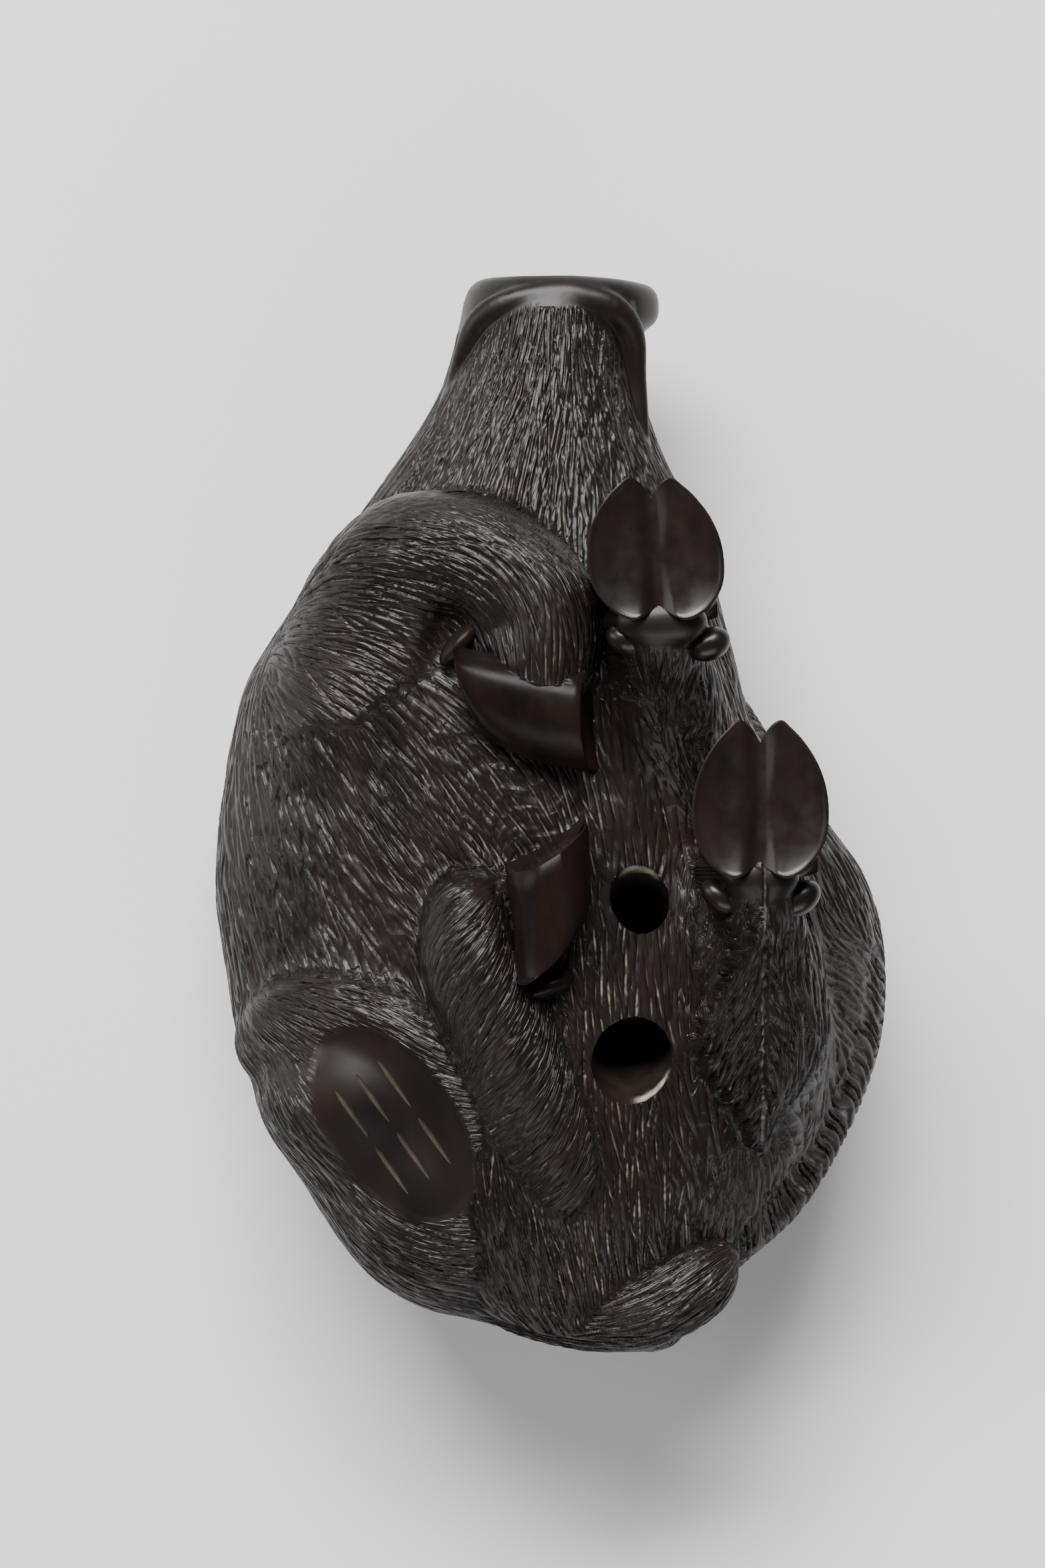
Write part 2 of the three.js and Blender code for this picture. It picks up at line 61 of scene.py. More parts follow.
# Trunk and head as oval sections: place along Y, left edge, right edge, belly height, back height.
trunk_rows = np.array([
    (-25.0, 2.1, 4.9, 13.2, 11.2), (-24.6, 0.4, 5.7, 14.0, 9.6), (-23.7, -2.5, 6.5, 14.6, 7.0),
    (-22.3, -5.3, 7.6, 15.3, 4.5), (-18.0, -10.5, 11.3, 16.8, 0.9), (-11.8, -14.1, 14.8, 17.6, -0.1),
    (-5.6, -15.4, 15.3, 17.8, -0.2), (-2.5, -15.6, 14.4, 17.9, -0.2), (0.6, -15.3, 12.0, 18.0, -0.1),
    (3.7, -14.8, 9.6, 18.0, 0.0), (6.8, -13.8, 8.7, 17.6, 0.3), (13.0, -9.5, 6.9, 15.9, 1.3),
    (19.1, -5.4, 4.4, 14.0, 2.6), (24.1, -3.9, 4.3, 12.4, 4.4)])
tail_end, snout_end, end_softness = trunk_rows[0, 0], trunk_rows[-1, 0], 0.6

# Limbs as lines of x, y, z and radius.
foreleg = [(-8.8, 4.1, 11.6, 4.6), (-8.3, 8.3, 13.2, 3.8), (-6.6, 11.5, 15.6, 3.1),
           (-3.9, 11.9, 17.0, 2.7), (-1.3, 10.7, 17.8, 2.5), (0.0, 9.0, 18.3, 2.35),
           (-0.3, 6.9, 18.3, 2.25)]
inner_forearm = [(-8.2, 5.5, 13.6, 3.4), (-5.4, 8.2, 14.8, 3.1), (-2.5, 9.0, 16.2, 2.8),
                 (-0.8, 7.9, 17.0, 2.3)]
haunch_ridge = [(-13.0, -10.7, 11.4, 1.6), (-11.7, -9.3, 13.2, 1.7), (-9.4, -9.0, 14.6, 1.8),
                (-6.8, -9.8, 15.3, 1.9), (-4.9, -11.8, 15.6, 2.0), (-3.7, -14.4, 15.3, 1.9),
                (-2.8, -17.5, 14.4, 1.7)]
shank = [(-3.8, -4.7, 18.0, 1.85), (-3.7, -6.6, 18.1, 2.2), (-2.5, -9.3, 17.6, 2.3),
         (-1.0, -12.6, 16.9, 2.3), (0.3, -15.8, 15.8, 2.2), (1.6, -18.3, 14.6, 1.6),
         (3.4, -19.3, 13.8, 0.6)]
right_foreleg = [(5.1, 7.0, 16.6, 2.2), (5.3, 4.9, 16.4, 2.7), (5.6, 2.1, 14.6, 3.2)]
right_hind_leg = [(9.5, -4.2, 14.8, 2.4), (9.8, -7.1, 15.6, 2.7), (10.1, -10.5, 14.6, 2.7),
                  (10.0, -14.2, 12.4, 1.9)]
hock_foot = [(8.6, -3.2, 15.4, 2.4), (8.2, -6.0, 15.8, 2.5), (8.2, -9.0, 15.2, 2.2)]
spine_ridge = [(1.1, 14.4, 2.6, 1.5), (4.9, 9.1, 3.7, 1.6), (8.9, 2.8, 5.9, 1.6),
               (12.2, -2.3, 6.4, 1.6), (13.9, -6.6, 8.6, 1.55), (13.4, -11.8, 9.8, 1.55),
               (10.9, -17.2, 10.4, 1.4), (7.8, -20.4, 11.4, 1.1)]
fore_pastern = [(5.3, 4.6, 16.0, 2.6), (5.1, 6.6, 18.0, 2.1), (4.9, 8.3, 19.6, 1.9),
                (4.8, 10.2, 19.6, 1.6)]
hind_pastern = [(9.9, -7.6, 16.0, 2.4), (9.7, -5.4, 17.7, 2.0), (9.5, -3.6, 18.7, 1.9),
                (9.5, -1.4, 18.6, 1.6)]
tail = [(-2.7, -22.4, 11.6, 1.2), (0.4, -22.9, 12.6, 1.8), (3.8, -22.6, 13.6, 2.15),
        (6.6, -21.7, 13.9, 1.8), (7.9, -20.6, 13.9, 0.8)]
lip_band = [(-4.6, 19.5, 9.9, 0.35), (-3.9, 21.4, 10.9, 0.55), (-3.2, 22.8, 11.4, 0.65),
            (-1.8, 23.6, 11.8, 0.7), (0.6, 23.9, 12.0, 0.7), (2.8, 23.4, 11.8, 0.7),
            (3.7, 22.2, 11.2, 0.65), (3.9, 20.2, 10.7, 0.55), (4.2, 17.6, 10.7, 0.4)]
left_ear = [(-2.3, 15.6, 1.7, 0.8), (-4.3, 12.9, 1.6, 1.9), (-7.2, 9.2, 2.2, 0.4)]
right_ear = [(3.2, 15.8, 2.9, 0.8), (4.9, 13.2, 4.4, 1.8), (6.9, 9.6, 5.6, 0.4)]

# The feathered tuft of the right hock, a low leaf of hair on both sides of a parting.
# Place along Y, half width.
leaf_rows = np.array([
    (-15.8, 0.0), (-15.3, 0.9), (-14.2, 1.3), (-13.2, 2.1), (-12.0, 3.0), (-10.8, 3.4), (-9.4, 3.2),
    (-8.1, 2.6), (-6.6, 1.7), (-5.2, 0.9), (-4.2, 0.3)])
parting, leaf_rise, leaf_runs, leaf_above, leaf_beyond = 9.75, 0.7, (0.8, 2.2), 10, -9
leaf_tip, leaf_tip_pitch, leaf_tip_span, leaf_edge_way = 0.35, 0.9, (-8, -10), (0.82, 0.57)


def smooth_min(a, b, blend):
    share = np.clip(0.5 + 0.5 * (b - a) / blend, 0, 1)
    return b + (a - b) * share - blend * share * (1 - share)


def smooth_max(a, b, blend):
    return -smooth_min(-a, -b, blend)


def smooth_step(low, high, value):
    t = np.clip((value - low) / (high - low), 0, 1)
    return t * t * (3 - 2 * t)


def norms(ways):
    return np.linalg.norm(ways, axis=-1, keepdims=True)


def turns(count):
    return 2 * np.pi * np.arange(count) / count


def spline(rows, per_span):
    rows = np.asarray(rows, float)
    ends = np.vstack([2 * rows[0] - rows[1], rows, 2 * rows[-1] - rows[-2]])
    t = (np.arange(per_span) / per_span)[:, None]
    spans = []
    for a, b, c, d in zip(ends, ends[1:], ends[2:], ends[3:]):
        spans.append(0.5 * (2 * b + (c - a) * t + (2 * a - 5 * b + 4 * c - d) * t ** 2
                            + (3 * b - a - 3 * c + d) * t ** 3))
    return np.vstack(spans + [rows[-1:]])


def near_only(low, high, distance, reach=2.5):
    """The distance close to a form's box, and the distance to the box further off."""
    def measure(points):
        gap = np.maximum(np.maximum(low - points, points - high), 0)
        result = np.sqrt((gap ** 2).sum(-1))
        close = result < reach
        if close.any():
            result[close] = distance(points[close])
        return result
    return measure


def limb(rows, flatness=1.0, per_span=5):
    line = spline(rows, per_span)
    widest = line[:, 3].max()

    def distance(points):
        best = np.full(len(points), 1e9)
        for a, b in zip(line, line[1:]):
            way = b[:3] - a[:3]
            off = points - a[:3]
            along = np.clip((off @ way) / (way @ way), 0, 1)
            off = off - along[:, None] * way
            off[:, 2] /= flatness
            best = np.minimum(best, np.sqrt((off * off).sum(-1)) - a[3] - along * (b[3] - a[3]))
        return best * flatness
    return near_only(line[:, :3].min(0) - widest, line[:, :3].max(0) + widest, distance)


def mass(centre, half, turn):
    centre, half = np.array(centre, float), np.array(half, float)
    cos, sin = np.cos(np.radians(turn)), np.sin(np.radians(turn))

    def distance(points):
        off = points - centre
        x = off[:, 0] * cos + off[:, 1] * sin
        y = off[:, 1] * cos - off[:, 0] * sin
        scaled = np.stack([x, y, off[:, 2]], -1) / half
        reach = np.sqrt((scaled ** 2).sum(-1))
        return reach * (reach - 1) / (np.sqrt(((scaled / half) ** 2).sum(-1)) + 1e-9)
    return near_only(centre - half.max(), centre + half.max(), distance)


def trunk_section(y):
    """Centre and half sizes of the trunk's oval: x, half width, z, half height."""
    ys = trunk_rows[:, 0]
    i = np.clip(np.searchsorted(ys, y) - 1, 0, len(ys) - 2)
    step = ys[i + 1] - ys[i]
    t = np.clip((y - ys[i]) / step, 0, 1)
    number = np.arange(len(ys))
    before, after = np.maximum(number - 1, 0), np.minimum(number + 1, len(ys) - 1)
    edges = []
    for column in trunk_rows[:, 1:].T:
        slope = (column[after] - column[before]) / (ys[after] - ys[before])
        edges.append((2 * t ** 3 - 3 * t ** 2 + 1) * column[i] + (t ** 3 - 2 * t ** 2 + t) * step * slope[i]
                     + (3 * t ** 2 - 2 * t ** 3) * column[i + 1] + (t ** 3 - t ** 2) * step * slope[i + 1])
    left, right, belly, back = edges
    return (left + right) / 2, (right - left) / 2, (belly + back) / 2, (belly - back) / 2


def oval(x, z, half_width, half_height):
    reach = np.sqrt((x / half_width) ** 2 + (z / half_height) ** 2)
    steepness = np.sqrt((x / half_width ** 2) ** 2 + (z / half_height ** 2) ** 2)
    return reach * (reach - 1) / (steepness + 1e-9)


def trunk(points):
    x, half_width, z, half_height = trunk_section(points[:, 1])
    around = oval(points[:, 0] - x, points[:, 2] - z, half_width, half_height)
    past_ends = np.maximum(points[:, 1] - snout_end, tail_end - points[:, 1])
    return smooth_max(around, past_ends, end_softness)


snout_centre, snout_half = np.array([0.6, 23.7, 8.8]), (4.45, 1.25, 3.5)
snout_crown, snout_lean, snout_softness = 0.014, 0.03, 0.9


def snout_disc(points):
    off = points - snout_centre
    around = oval(off[:, 0], off[:, 2], snout_half[0], snout_half[2])
    crown = np.abs(off[:, 1] + snout_lean * off[:, 0]) - snout_half[1] + snout_crown * off[:, 0] ** 2
    return smooth_max(around, crown, snout_softness)


thigh = mass((-8.6, -13.0, 10.6), (5.2, 4.6, 6.3), -30)
rump = mass((-5.3, -17.6, 9.8), (6.3, 4.9, 6.6), -50)
elbow_hollow, elbow_softness = mass((-5.0, 7.6, 18.9), (1.2, 1.9, 1.7), -25), 0.9
eyes = [mass((-5.5, 16.6, 3.9), (0.8, 0.5, 0.5), 60), mass((3.8, 16.6, 3.8), (0.8, 0.5, 0.5), -60)]
heel_pads = [mass((5.0, 8.7, 20.9), (2.1, 1.2, 1.0), 0), mass((9.5, -2.9, 19.9), (1.8, 1.2, 1.0), 0)]
tail_flatness, lip_flatness, ear_flatness = 0.85, 0.65, 0.45
foreleg_form, forearm_form = limb(foreleg), limb(inner_forearm)
haunch_form, shank_form = limb(haunch_ridge), limb(shank)
hind_pastern_form, spine_form = limb(hind_pastern), limb(spine_ridge)
tail_form, lip_form = limb(tail, tail_flatness), limb(lip_band, lip_flatness)

# The forms in the order they grow from the trunk, each with the softness of its joint.
grown = [
    (foreleg_form, 1.3), (forearm_form, 1.6), (thigh, 0.9), (rump, 1.8), (haunch_form, 1.0),
    (shank_form, 0.9), (limb(right_foreleg), 1.6), (limb(right_hind_leg), 1.2), (limb(hock_foot), 1.5),
    (spine_form, 0.8), (snout_disc, 0.5)]
raised = [
    (limb(fore_pastern), 0.5), (hind_pastern_form, 0.5), (tail_form, 0.35), (lip_form, 0.1),
    (limb(left_ear, ear_flatness), 0.3), (limb(right_ear, ear_flatness), 0.3)]
pad_softness, eye_softness = 0.2, 0.15
raised += [(form, pad_softness) for form in heel_pads] + [(form, eye_softness) for form in eyes]


def leaf(points):
    """1 on the tuft and 0 off it, with tips of hair along its inner edge and a soft outer edge."""
    out = np.abs(points[:, 0] - parting)
    inner = points[:, 0] < parting
    width = np.interp(points[:, 1], *leaf_rows.T, left=leaf_beyond, right=leaf_beyond)
    along_edge = (leaf_edge_way[0] * out + leaf_edge_way[1] * points[:, 1]) / leaf_tip_pitch
    zigzag = 2 * (np.abs(along_edge % 1 - 0.5) - 0.25)
    tips = leaf_tip * zigzag * smooth_step(*leaf_tip_span, points[:, 1]) * inner
    crisp, soft = leaf_runs
    run = np.where(inner, crisp, crisp + (soft - crisp) * smooth_step(0, 1, out))
    return np.where(points[:, 2] > leaf_above, smooth_step(0, run, width - out + tips), 0)


def boar_distance(points):
    distance = trunk(points)
    for form, blend in grown:
        distance = smooth_min(distance, form(points), blend)
    distance = smooth_max(distance, -elbow_hollow(points), elbow_softness)
    for form, blend in raised:
        distance = smooth_min(distance, form(points), blend)
    return distance - leaf_rise * leaf(points)


# The skin: rays leave a low point of each section, through its oval, and stop on the outermost surface.
ray_start, ray_crowding = (0.1, -0.6), 0.4
tail_gap, snout_gap, even_share, eased_share = 0.05, 0.06, 0.6, 0.2
first_station = tail_end + tail_gap
last_station = snout_centre[1] + snout_half[1] - snout_gap
stride, most_in, most_out, near_enough, least_reach = 0.8, -0.3, 8, 0.002, 0.05


def stations(count):
    v = np.linspace(0, 1, count)
    spread = even_share * v + eased_share * (1 - np.cos(np.pi * v))
    return first_station + (last_station - first_station) * spread


def rays(station_count, ray_count):
    y = stations(station_count)[:, None]
    x, half_width, z, half_height = trunk_section(y)
    turn = turns(ray_count)[None]
    angle = turn + ray_crowding * np.cos(turn)
    toward_x = half_width * (np.cos(angle) - ray_start[0])
    toward_z = half_height * (np.sin(angle) - ray_start[1])
    length = np.hypot(toward_x, toward_z)
    shape = (station_count, ray_count)
    low_point = x + ray_start[0] * half_width, y, z + ray_start[1] * half_height
    start = np.stack([np.broadcast_to(value, shape) for value in low_point], -1)
    way = np.stack([toward_x / length, np.zeros(shape), toward_z / length], -1)
    return start, way


def trace(start, way, reach, steps):
    start, way, reach = start.reshape(-1, 3), way.reshape(-1, 3), reach.ravel().copy()
    moving = np.arange(len(reach))
    for _ in range(steps):
        distance = boar_distance(start[moving] + reach[moving, None] * way[moving])
        reach[moving] -= stride * np.clip(distance, most_in, most_out)
        moving = moving[(np.abs(distance) > near_enough) & (reach[moving] > least_reach)]
        if not len(moving):
            break
    return np.maximum(reach, least_reach)


def sample(grid, i, j):
    """Values of a grid at fractional places; the grid is closed round its second axis."""
    i = np.clip(i, 0, grid.shape[0] - 1.001)
    low_i, low_j = np.floor(i).astype(int), np.floor(j).astype(int)
    part_i, part_j = i - low_i, j - low_j
    j0, j1 = low_j % grid.shape[1], (low_j + 1) % grid.shape[1]
    return ((1 - part_i) * ((1 - part_j) * grid[low_i, j0] + part_j * grid[low_i, j1])
            + part_i * ((1 - part_j) * grid[low_i + 1, j0] + part_j * grid[low_i + 1, j1]))


coarse_shape, fine_shape = (140, 200), (660, 880)
outside, coarse_steps, fine_margin, fine_steps = 26.0, 70, 0.3, 60
coarse_start, coarse_way = rays(*coarse_shape)
coarse_reach = trace(coarse_start, coarse_way, np.full(coarse_shape, outside), coarse_steps)
coarse_reach = coarse_reach.reshape(coarse_shape)
beside = [np.roll(coarse_reach, turn, 1) for turn in (-1, 0, 1)]
padded = [np.pad(grid, ((1, 1), (0, 0)), "edge") for grid in beside]
widest = np.maximum.reduce([np.roll(grid, step, 0)[1:-1] for grid in padded for step in (-1, 0, 1)])
fine_i, fine_j = np.meshgrid(np.linspace(0, coarse_shape[0] - 1, fine_shape[0]),
                             np.arange(fine_shape[1]) * coarse_shape[1] / fine_shape[1], indexing="ij")
fine_start, fine_way = rays(*fine_shape)
fine_reach = trace(fine_start, fine_way, sample(widest, fine_i, fine_j) + fine_margin, fine_steps)
skin = fine_start + fine_reach.reshape(fine_shape)[..., None] * fine_way
skin[..., 2] = np.maximum(skin[..., 2], back_flat)
along_i = np.gradient(skin, axis=0)
along_j = (np.roll(skin, -1, 1) - np.roll(skin, 1, 1)) / 2
skin_normal = np.cross(along_i, along_j)
skin_normal /= norms(skin_normal) + 1e-12
flat_points = skin.reshape(-1, 3)
middle_height = trunk_section(skin[..., 1])[2]


def nearness(*forms):
    """How far each point of the skin lies from the nearest of some forms."""
    return np.min([form(flat_points) for form in forms], 0).reshape(fine_shape)


# How the coat is combed: for each part of the body, places x, y and the way the hair runs there in degrees.
combing = {
    "trunk": [
        (0.7, 21.6, -92), (-2.0, 19.1, -100), (-3.4, 17.9, -112), (-5.4, 16.1, -122), (0.1, 17.6, -95),
        (3.2, 17.9, -85), (4.1, 16.1, -75), (-2.0, 14.8, -95), (1.7, 14.2, -92), (5.4, 13.0, -80),
        (2.3, 9.9, -95), (2.9, 5.2, -92), (3.8, 0.6, -90), (2.9, -7.2, -90), (4.9, -7.2, -87),
        (3.8, -14.9, -86), (6.0, -17.4, -85), (7.9, -18.0, -80), (10.0, -17.4, -66), (3.2, -19.6, -80),
        (5.4, 6.5, -80), (7.2, 5.8, -48), (8.2, 4.6, -45), (6.9, 2.4, -62), (-6.4, 4.9, -42),
        (-10.1, 2.1, -58), (-13.2, 3.0, -64), (-14.7, 0.6, -72), (-7.0, 0.6, -58), (-2.4, 3.0, -45),
        (-0.8, 1.5, -52), (-13.2, -2.5, -60), (-10.1, -2.5, -60), (-6.4, -2.5, -50), (-3.9, -1.3, -48),
        (-14.9, -5.6, -66), (-11.6, -6.2, -55), (-7.0, -5.6, -55), (-5.8, -6.5, -72), (1.1, 1.2, -75),
        (13.7, -6.2, -3), (14.4, -8.7, -10), (13.9, -10.6, -32), (13.1, -13.0, -45), (11.6, -15.2, -60),
        (13.4, -2.8, -70), (12.8, -1.0, -80), (6.3, -8.7, -92), (6.9, -13.4, -80)],
    "foreleg": [
        (-10.1, 11.4, 6), (-11.6, 8.3, 0), (-12.0, 6.5, -22), (-13.2, 4.9, -45), (-8.2, 6.8, -35),
        (-6.4, 13.9, -5), (-3.9, 13.0, -16), (-1.4, 11.4, -32), (0.4, 10.5, -48), (0.3, 8.9, -78),
        (0.7, 7.7, -95), (-2.0, 8.3, -76), (-0.8, 7.1, -85), (-8.2, 9.9, -3), (-5.8, 10.5, -6),
        (-3.9, 9.9, -25), (-5.8, 7.1, -50)],
    "haunch": [
        (-13.5, -9.3, -20), (-11.6, -8.4, -6), (-8.5, -8.7, -16), (-5.8, -9.6, -30), (-4.2, -11.5, -30),
        (-13.2, -10.9, -36), (-12.3, -13.4, -46), (-10.7, -15.5, -45), (-8.2, -18.0, -32),
        (-5.8, -19.6, -12), (-3.9, -19.9, 2), (-0.8, -19.9, 15), (-3.0, -13.4, 10), (-2.4, -15.5, 14),
        (-2.7, -18.0, 12), (-7.0, -21.1, -15), (-3.9, -23.0, -15)],
    "shank": [
        (-3.9, -3.5, -155), (-5.1, -5.0, -135), (-3.9, -5.9, -128), (-2.5, -7.5, -118),
        (-2.8, -9.6, -116), (-2.0, -11.8, -150), (-2.7, -14.9, -165), (-0.8, -11.8, -130),
        (-0.2, -14.3, -138), (0.1, -16.8, -142), (1.1, -15.5, -120), (1.5, -13.0, -60),
        (2.4, -16.1, -58), (2.0, -18.3, -160)],
    "tail": [
        (-1.4, -23.3, 0), (0.7, -22.6, 12), (3.8, -22.6, 25), (6.0, -21.7, 35), (8.0, -20.6, 42),
        (2.3, -24.2, 12)],
    "tuft": [
        (9.5, -5.6, -100), (8.2, -7.2, -122), (7.1, -9.6, -127), (8.5, -10.3, -115), (7.2, -11.5, -122),
        (9.4, -10.6, -108), (9.4, -14.0, -97), (8.5, -5.0, -110), (8.5, -13.0, -110)],
    "tuft_right": [
        (10.0, -5.6, -80), (11.0, -7.2, -62), (12.0, -8.7, -55), (12.7, -10.3, -52), (10.4, -10.6, -72),
        (11.0, -10.6, -66), (11.3, -13.0, -70), (10.2, -14.0, -84), (11.3, -5.3, -60)],
}
combed_forms = {
    "trunk": [trunk], "foreleg": [foreleg_form, forearm_form], "haunch": [thigh, rump, haunch_form],
    "shank": [shank_form], "tail": [tail_form], "tuft": [hind_pastern_form]}
comb_spread, comb_far, leaf_share, back_fade, back_splay = 2.0, 1e-4, 0.2, 5, 0.2
part_names = list(combing)
tuft, tuft_right = part_names.index("tuft"), part_names.index("tuft_right")
part_here = np.stack([nearness(*forms) for forms in combed_forms.values()]).argmin(0)
part_here[leaf(flat_points).reshape(fine_shape) > leaf_share] = tuft
part_here[(part_here == tuft) & (skin[..., 0] > parting)] = tuft_right
hair_way = np.zeros(skin.shape)
for number, rows in enumerate(combing.values()):
    here = part_here == number
    places = skin[here][:, :2]
    total = np.zeros((len(places), 2))
    for x, y, degrees in rows:
        gap = (places[:, 0] - x) ** 2 + (places[:, 1] - y) ** 2
        weight = np.exp(-gap / (2 * comb_spread ** 2)) + comb_far / (1 + gap)
        total += weight[:, None] * [np.cos(np.radians(degrees)), np.sin(np.radians(degrees))]
    hair_way[here, :2] = total / (norms(total) + 1e-12)
backward = smooth_step(0, back_fade, middle_height - skin[..., 2])[..., None]
back_lean = np.where(skin[..., 0] > 0, back_splay, -back_splay)
plain_way = np.stack([back_lean, np.full(fine_shape, -1.0), np.zeros(fine_shape)], -1)
hair_way = (1 - backward) * hair_way + backward * plain_way
hair_way -= (hair_way * skin_normal).sum(-1, keepdims=True) * skin_normal


def dots(a, b):
    return (a * a).sum(-1), (a * b).sum(-1), (b * b).sum(-1)


# The same ways as steps through the grid, a millimetre long.
dot_ii, dot_ij, dot_jj = dots(along_i, along_j)
way_i, way_j = (hair_way * along_i).sum(-1), (hair_way * along_j).sum(-1)
scale = dot_ii * dot_jj - dot_ij ** 2 + 1e-12
step_i, step_j = (way_i * dot_jj - way_j * dot_ij) / scale, (way_j * dot_ii - way_i * dot_ij) / scale
length = np.sqrt(step_i ** 2 * dot_ii + 2 * step_i * step_j * dot_ij + step_j ** 2 * dot_jj) + 1e-9
step_i, step_j = step_i / length, step_j / length

# How far each point lies across the combing, for the finest strands.
# The field is worked out part by part: it is level along the hair and climbs across it.
thinned, levelness, rounds, least_cell = 4, 12.0, 1500, 1e-6
places, ways, parts = (grid[::thinned, ::thinned] for grid in (skin, hair_way, part_here))
edge_i = np.diff(places, axis=0, append=places[-1:])
edge_j = np.roll(places, -1, 1) - places
facing = np.cross(edge_i, edge_j)
cell_area = np.linalg.norm(facing, axis=-1)
next_round, next_along = np.roll(parts, -1, 1), np.vstack([parts[1:], parts[-1:]])
inside = (parts == next_round) & (parts == next_along) & (cell_area > least_cell)
inside[-1] = False
weight = np.where(inside, cell_area, 0)
facing /= cell_area[..., None] + 1e-9
edge_ii, edge_ij, edge_jj = dots(edge_i, edge_j)
edge_scale = edge_ii * edge_jj - edge_ij ** 2 + 1e-9


def cell_steps(way):
    way = way - (way * facing).sum(-1, keepdims=True) * facing
    way /= norms(way) + 1e-9
    on_i, on_j = (way * edge_i).sum(-1), (way * edge_j).sum(-1)
    return (on_i * edge_jj - on_j * edge_ij) / edge_scale, (on_j * edge_ii - on_i * edge_ij) / edge_scale


run_i, run_j = cell_steps(ways)
cross_i, cross_j = cell_steps(np.cross(facing, ways))


def pulled(rise_along, rise_across):
    pull_i = weight * (levelness * run_i * rise_along + cross_i * rise_across)
    pull_j = weight * (levelness * run_j * rise_along + cross_j * rise_across)
    from_before = np.vstack([np.zeros((1, pull_i.shape[1])), pull_i[:-1]])
    return from_before - pull_i + np.roll(pull_j, 1, 1) - pull_j


def strained(field):
    rise_i = np.diff(field, axis=0, append=field[-1:])
    rise_j = np.roll(field, -1, 1) - field
    return pulled(run_i * rise_i + run_j * rise_j, cross_i * rise_i + cross_j * rise_j)


across_place = np.zeros(parts.shape)
remainder = pulled(np.zeros(parts.shape), np.ones(parts.shape))
search, left_over = remainder.copy(), (remainder ** 2).sum()
for _ in range(rounds):
    answer = strained(search)
    share = left_over / ((search * answer).sum() + 1e-12)
    across_place += share * search
    remainder -= share * answer
    left_now = (remainder ** 2).sum()
    search = remainder + left_now / (left_over + 1e-12) * search
    left_over = left_now

# The smooth oval on the thigh, and the other bare parts.
reserve_centre, reserve_half, reserve_turn = (-7.3, -14.3), (5.0, 2.9), np.radians(-55)
reserve_edge, reserve_recess, recess_edge, far_off = (1.06, 1.0), 0.14, (1.06, 0.94), 9
off_x, off_y = skin[..., 0] - reserve_centre[0], skin[..., 1] - reserve_centre[1]
reserve_along = off_x * np.cos(reserve_turn) + off_y * np.sin(reserve_turn)
reserve_across = off_y * np.cos(reserve_turn) - off_x * np.sin(reserve_turn)
on_belly = skin[..., 2] > middle_height
oval_reach = np.hypot(reserve_along / reserve_half[0], reserve_across / reserve_half[1])
reserve_reach = np.where(on_belly, oval_reach, far_off)
lip_near, eye_near = nearness(lip_form), nearness(*eyes)
spine_near, pad_near = nearness(spine_form), nearness(*heel_pads)
lip_edge, eye_edge, pad_edge = (0.3, 0.08), (0.3, 0.1), (0.35, 0.1)
crest_lean, crest_from, crest_to = 0.5, -8.8, -3
on_crest = (skin_normal[..., 1] > crest_lean) & (skin[..., 0] > crest_from) & (skin[..., 0] < crest_to)
crest = (part_here == part_names.index("foreleg")) & on_crest & on_belly
chin_middle, chin_half, chin_above, chin_edge, disc_edge = 0.3, 3.2, 11, (23.2, 23.5), (22.2, 22.6)
under_lip = (np.abs(skin[..., 0] - chin_middle) < chin_half) & (skin[..., 2] > chin_above)
muzzle = np.where(under_lip, smooth_step(*chin_edge, skin[..., 1]), smooth_step(*disc_edge, skin[..., 1]))
rubbed_bare, crest_bare, back_bare = 0.8, 0.35, 0.5
bare = np.maximum.reduce([
    smooth_step(*reserve_edge, reserve_reach), rubbed_bare * smooth_step(*lip_edge, lip_near),
    rubbed_bare * muzzle, rubbed_bare * smooth_step(*eye_edge, eye_near),
    rubbed_bare * smooth_step(*pad_edge, pad_near), crest_bare * crest, back_bare * backward[..., 0]])
on_tuft = (part_here == tuft) | (part_here == tuft_right)
vein_depth, vein_edge, vein_end = 0.15, (0.16, 0.04), (-15.6, -15.0)
vein = np.where(on_tuft, smooth_step(*vein_edge, np.abs(skin[..., 0] - parting)), 0)
vein *= smooth_step(*vein_end, skin[..., 1])

# The mane: a rope of slanting nicks along the ridge of the spine.
mane_pitch, mane_depth, mane_slant, mane_crispness, ridge_per_span = 0.5, 0.2, 0.4, 2.5, 12
mane_sway, sway_lengths, sway_rise, mane_reach, mane_edge = 0.09, (2.3, 1.37), 4.1, 1.1, (1.0, 0.3)
ridge = spline(spine_ridge, ridge_per_span)[:, :3]
ridge_length = np.concatenate([[0], np.cumsum(np.linalg.norm(np.diff(ridge, axis=0), axis=1))])
on_mane = np.argwhere(spine_near < mane_reach)
mane_points = skin[on_mane[:, 0], on_mane[:, 1]]
ridge_place = np.zeros(len(mane_points))
ridge_gap = np.full(len(mane_points), 1e9)
for a, b, length_here in zip(ridge, ridge[1:], ridge_length):
    way = b - a
    along = np.clip(((mane_points - a) @ way) / (way @ way), 0, 1)
    gap = np.linalg.norm(mane_points - a - along[:, None] * way, axis=1)
    closer = gap < ridge_gap
    ridge_gap[closer] = gap[closer]
    ridge_place[closer] = (length_here + along * np.linalg.norm(way))[closer]
ridge_height = np.interp(ridge_place, ridge_length, ridge[:, 2])
slanted = ridge_place + mane_slant * (mane_points[:, 2] - ridge_height)
sway = np.sin(2 * np.pi * slanted / sway_lengths[0]) + np.sin(2 * np.pi * slanted / sway_lengths[1] + 1)
slanted += mane_sway * (sway + np.sin(sway_rise * mane_points[:, 2]))
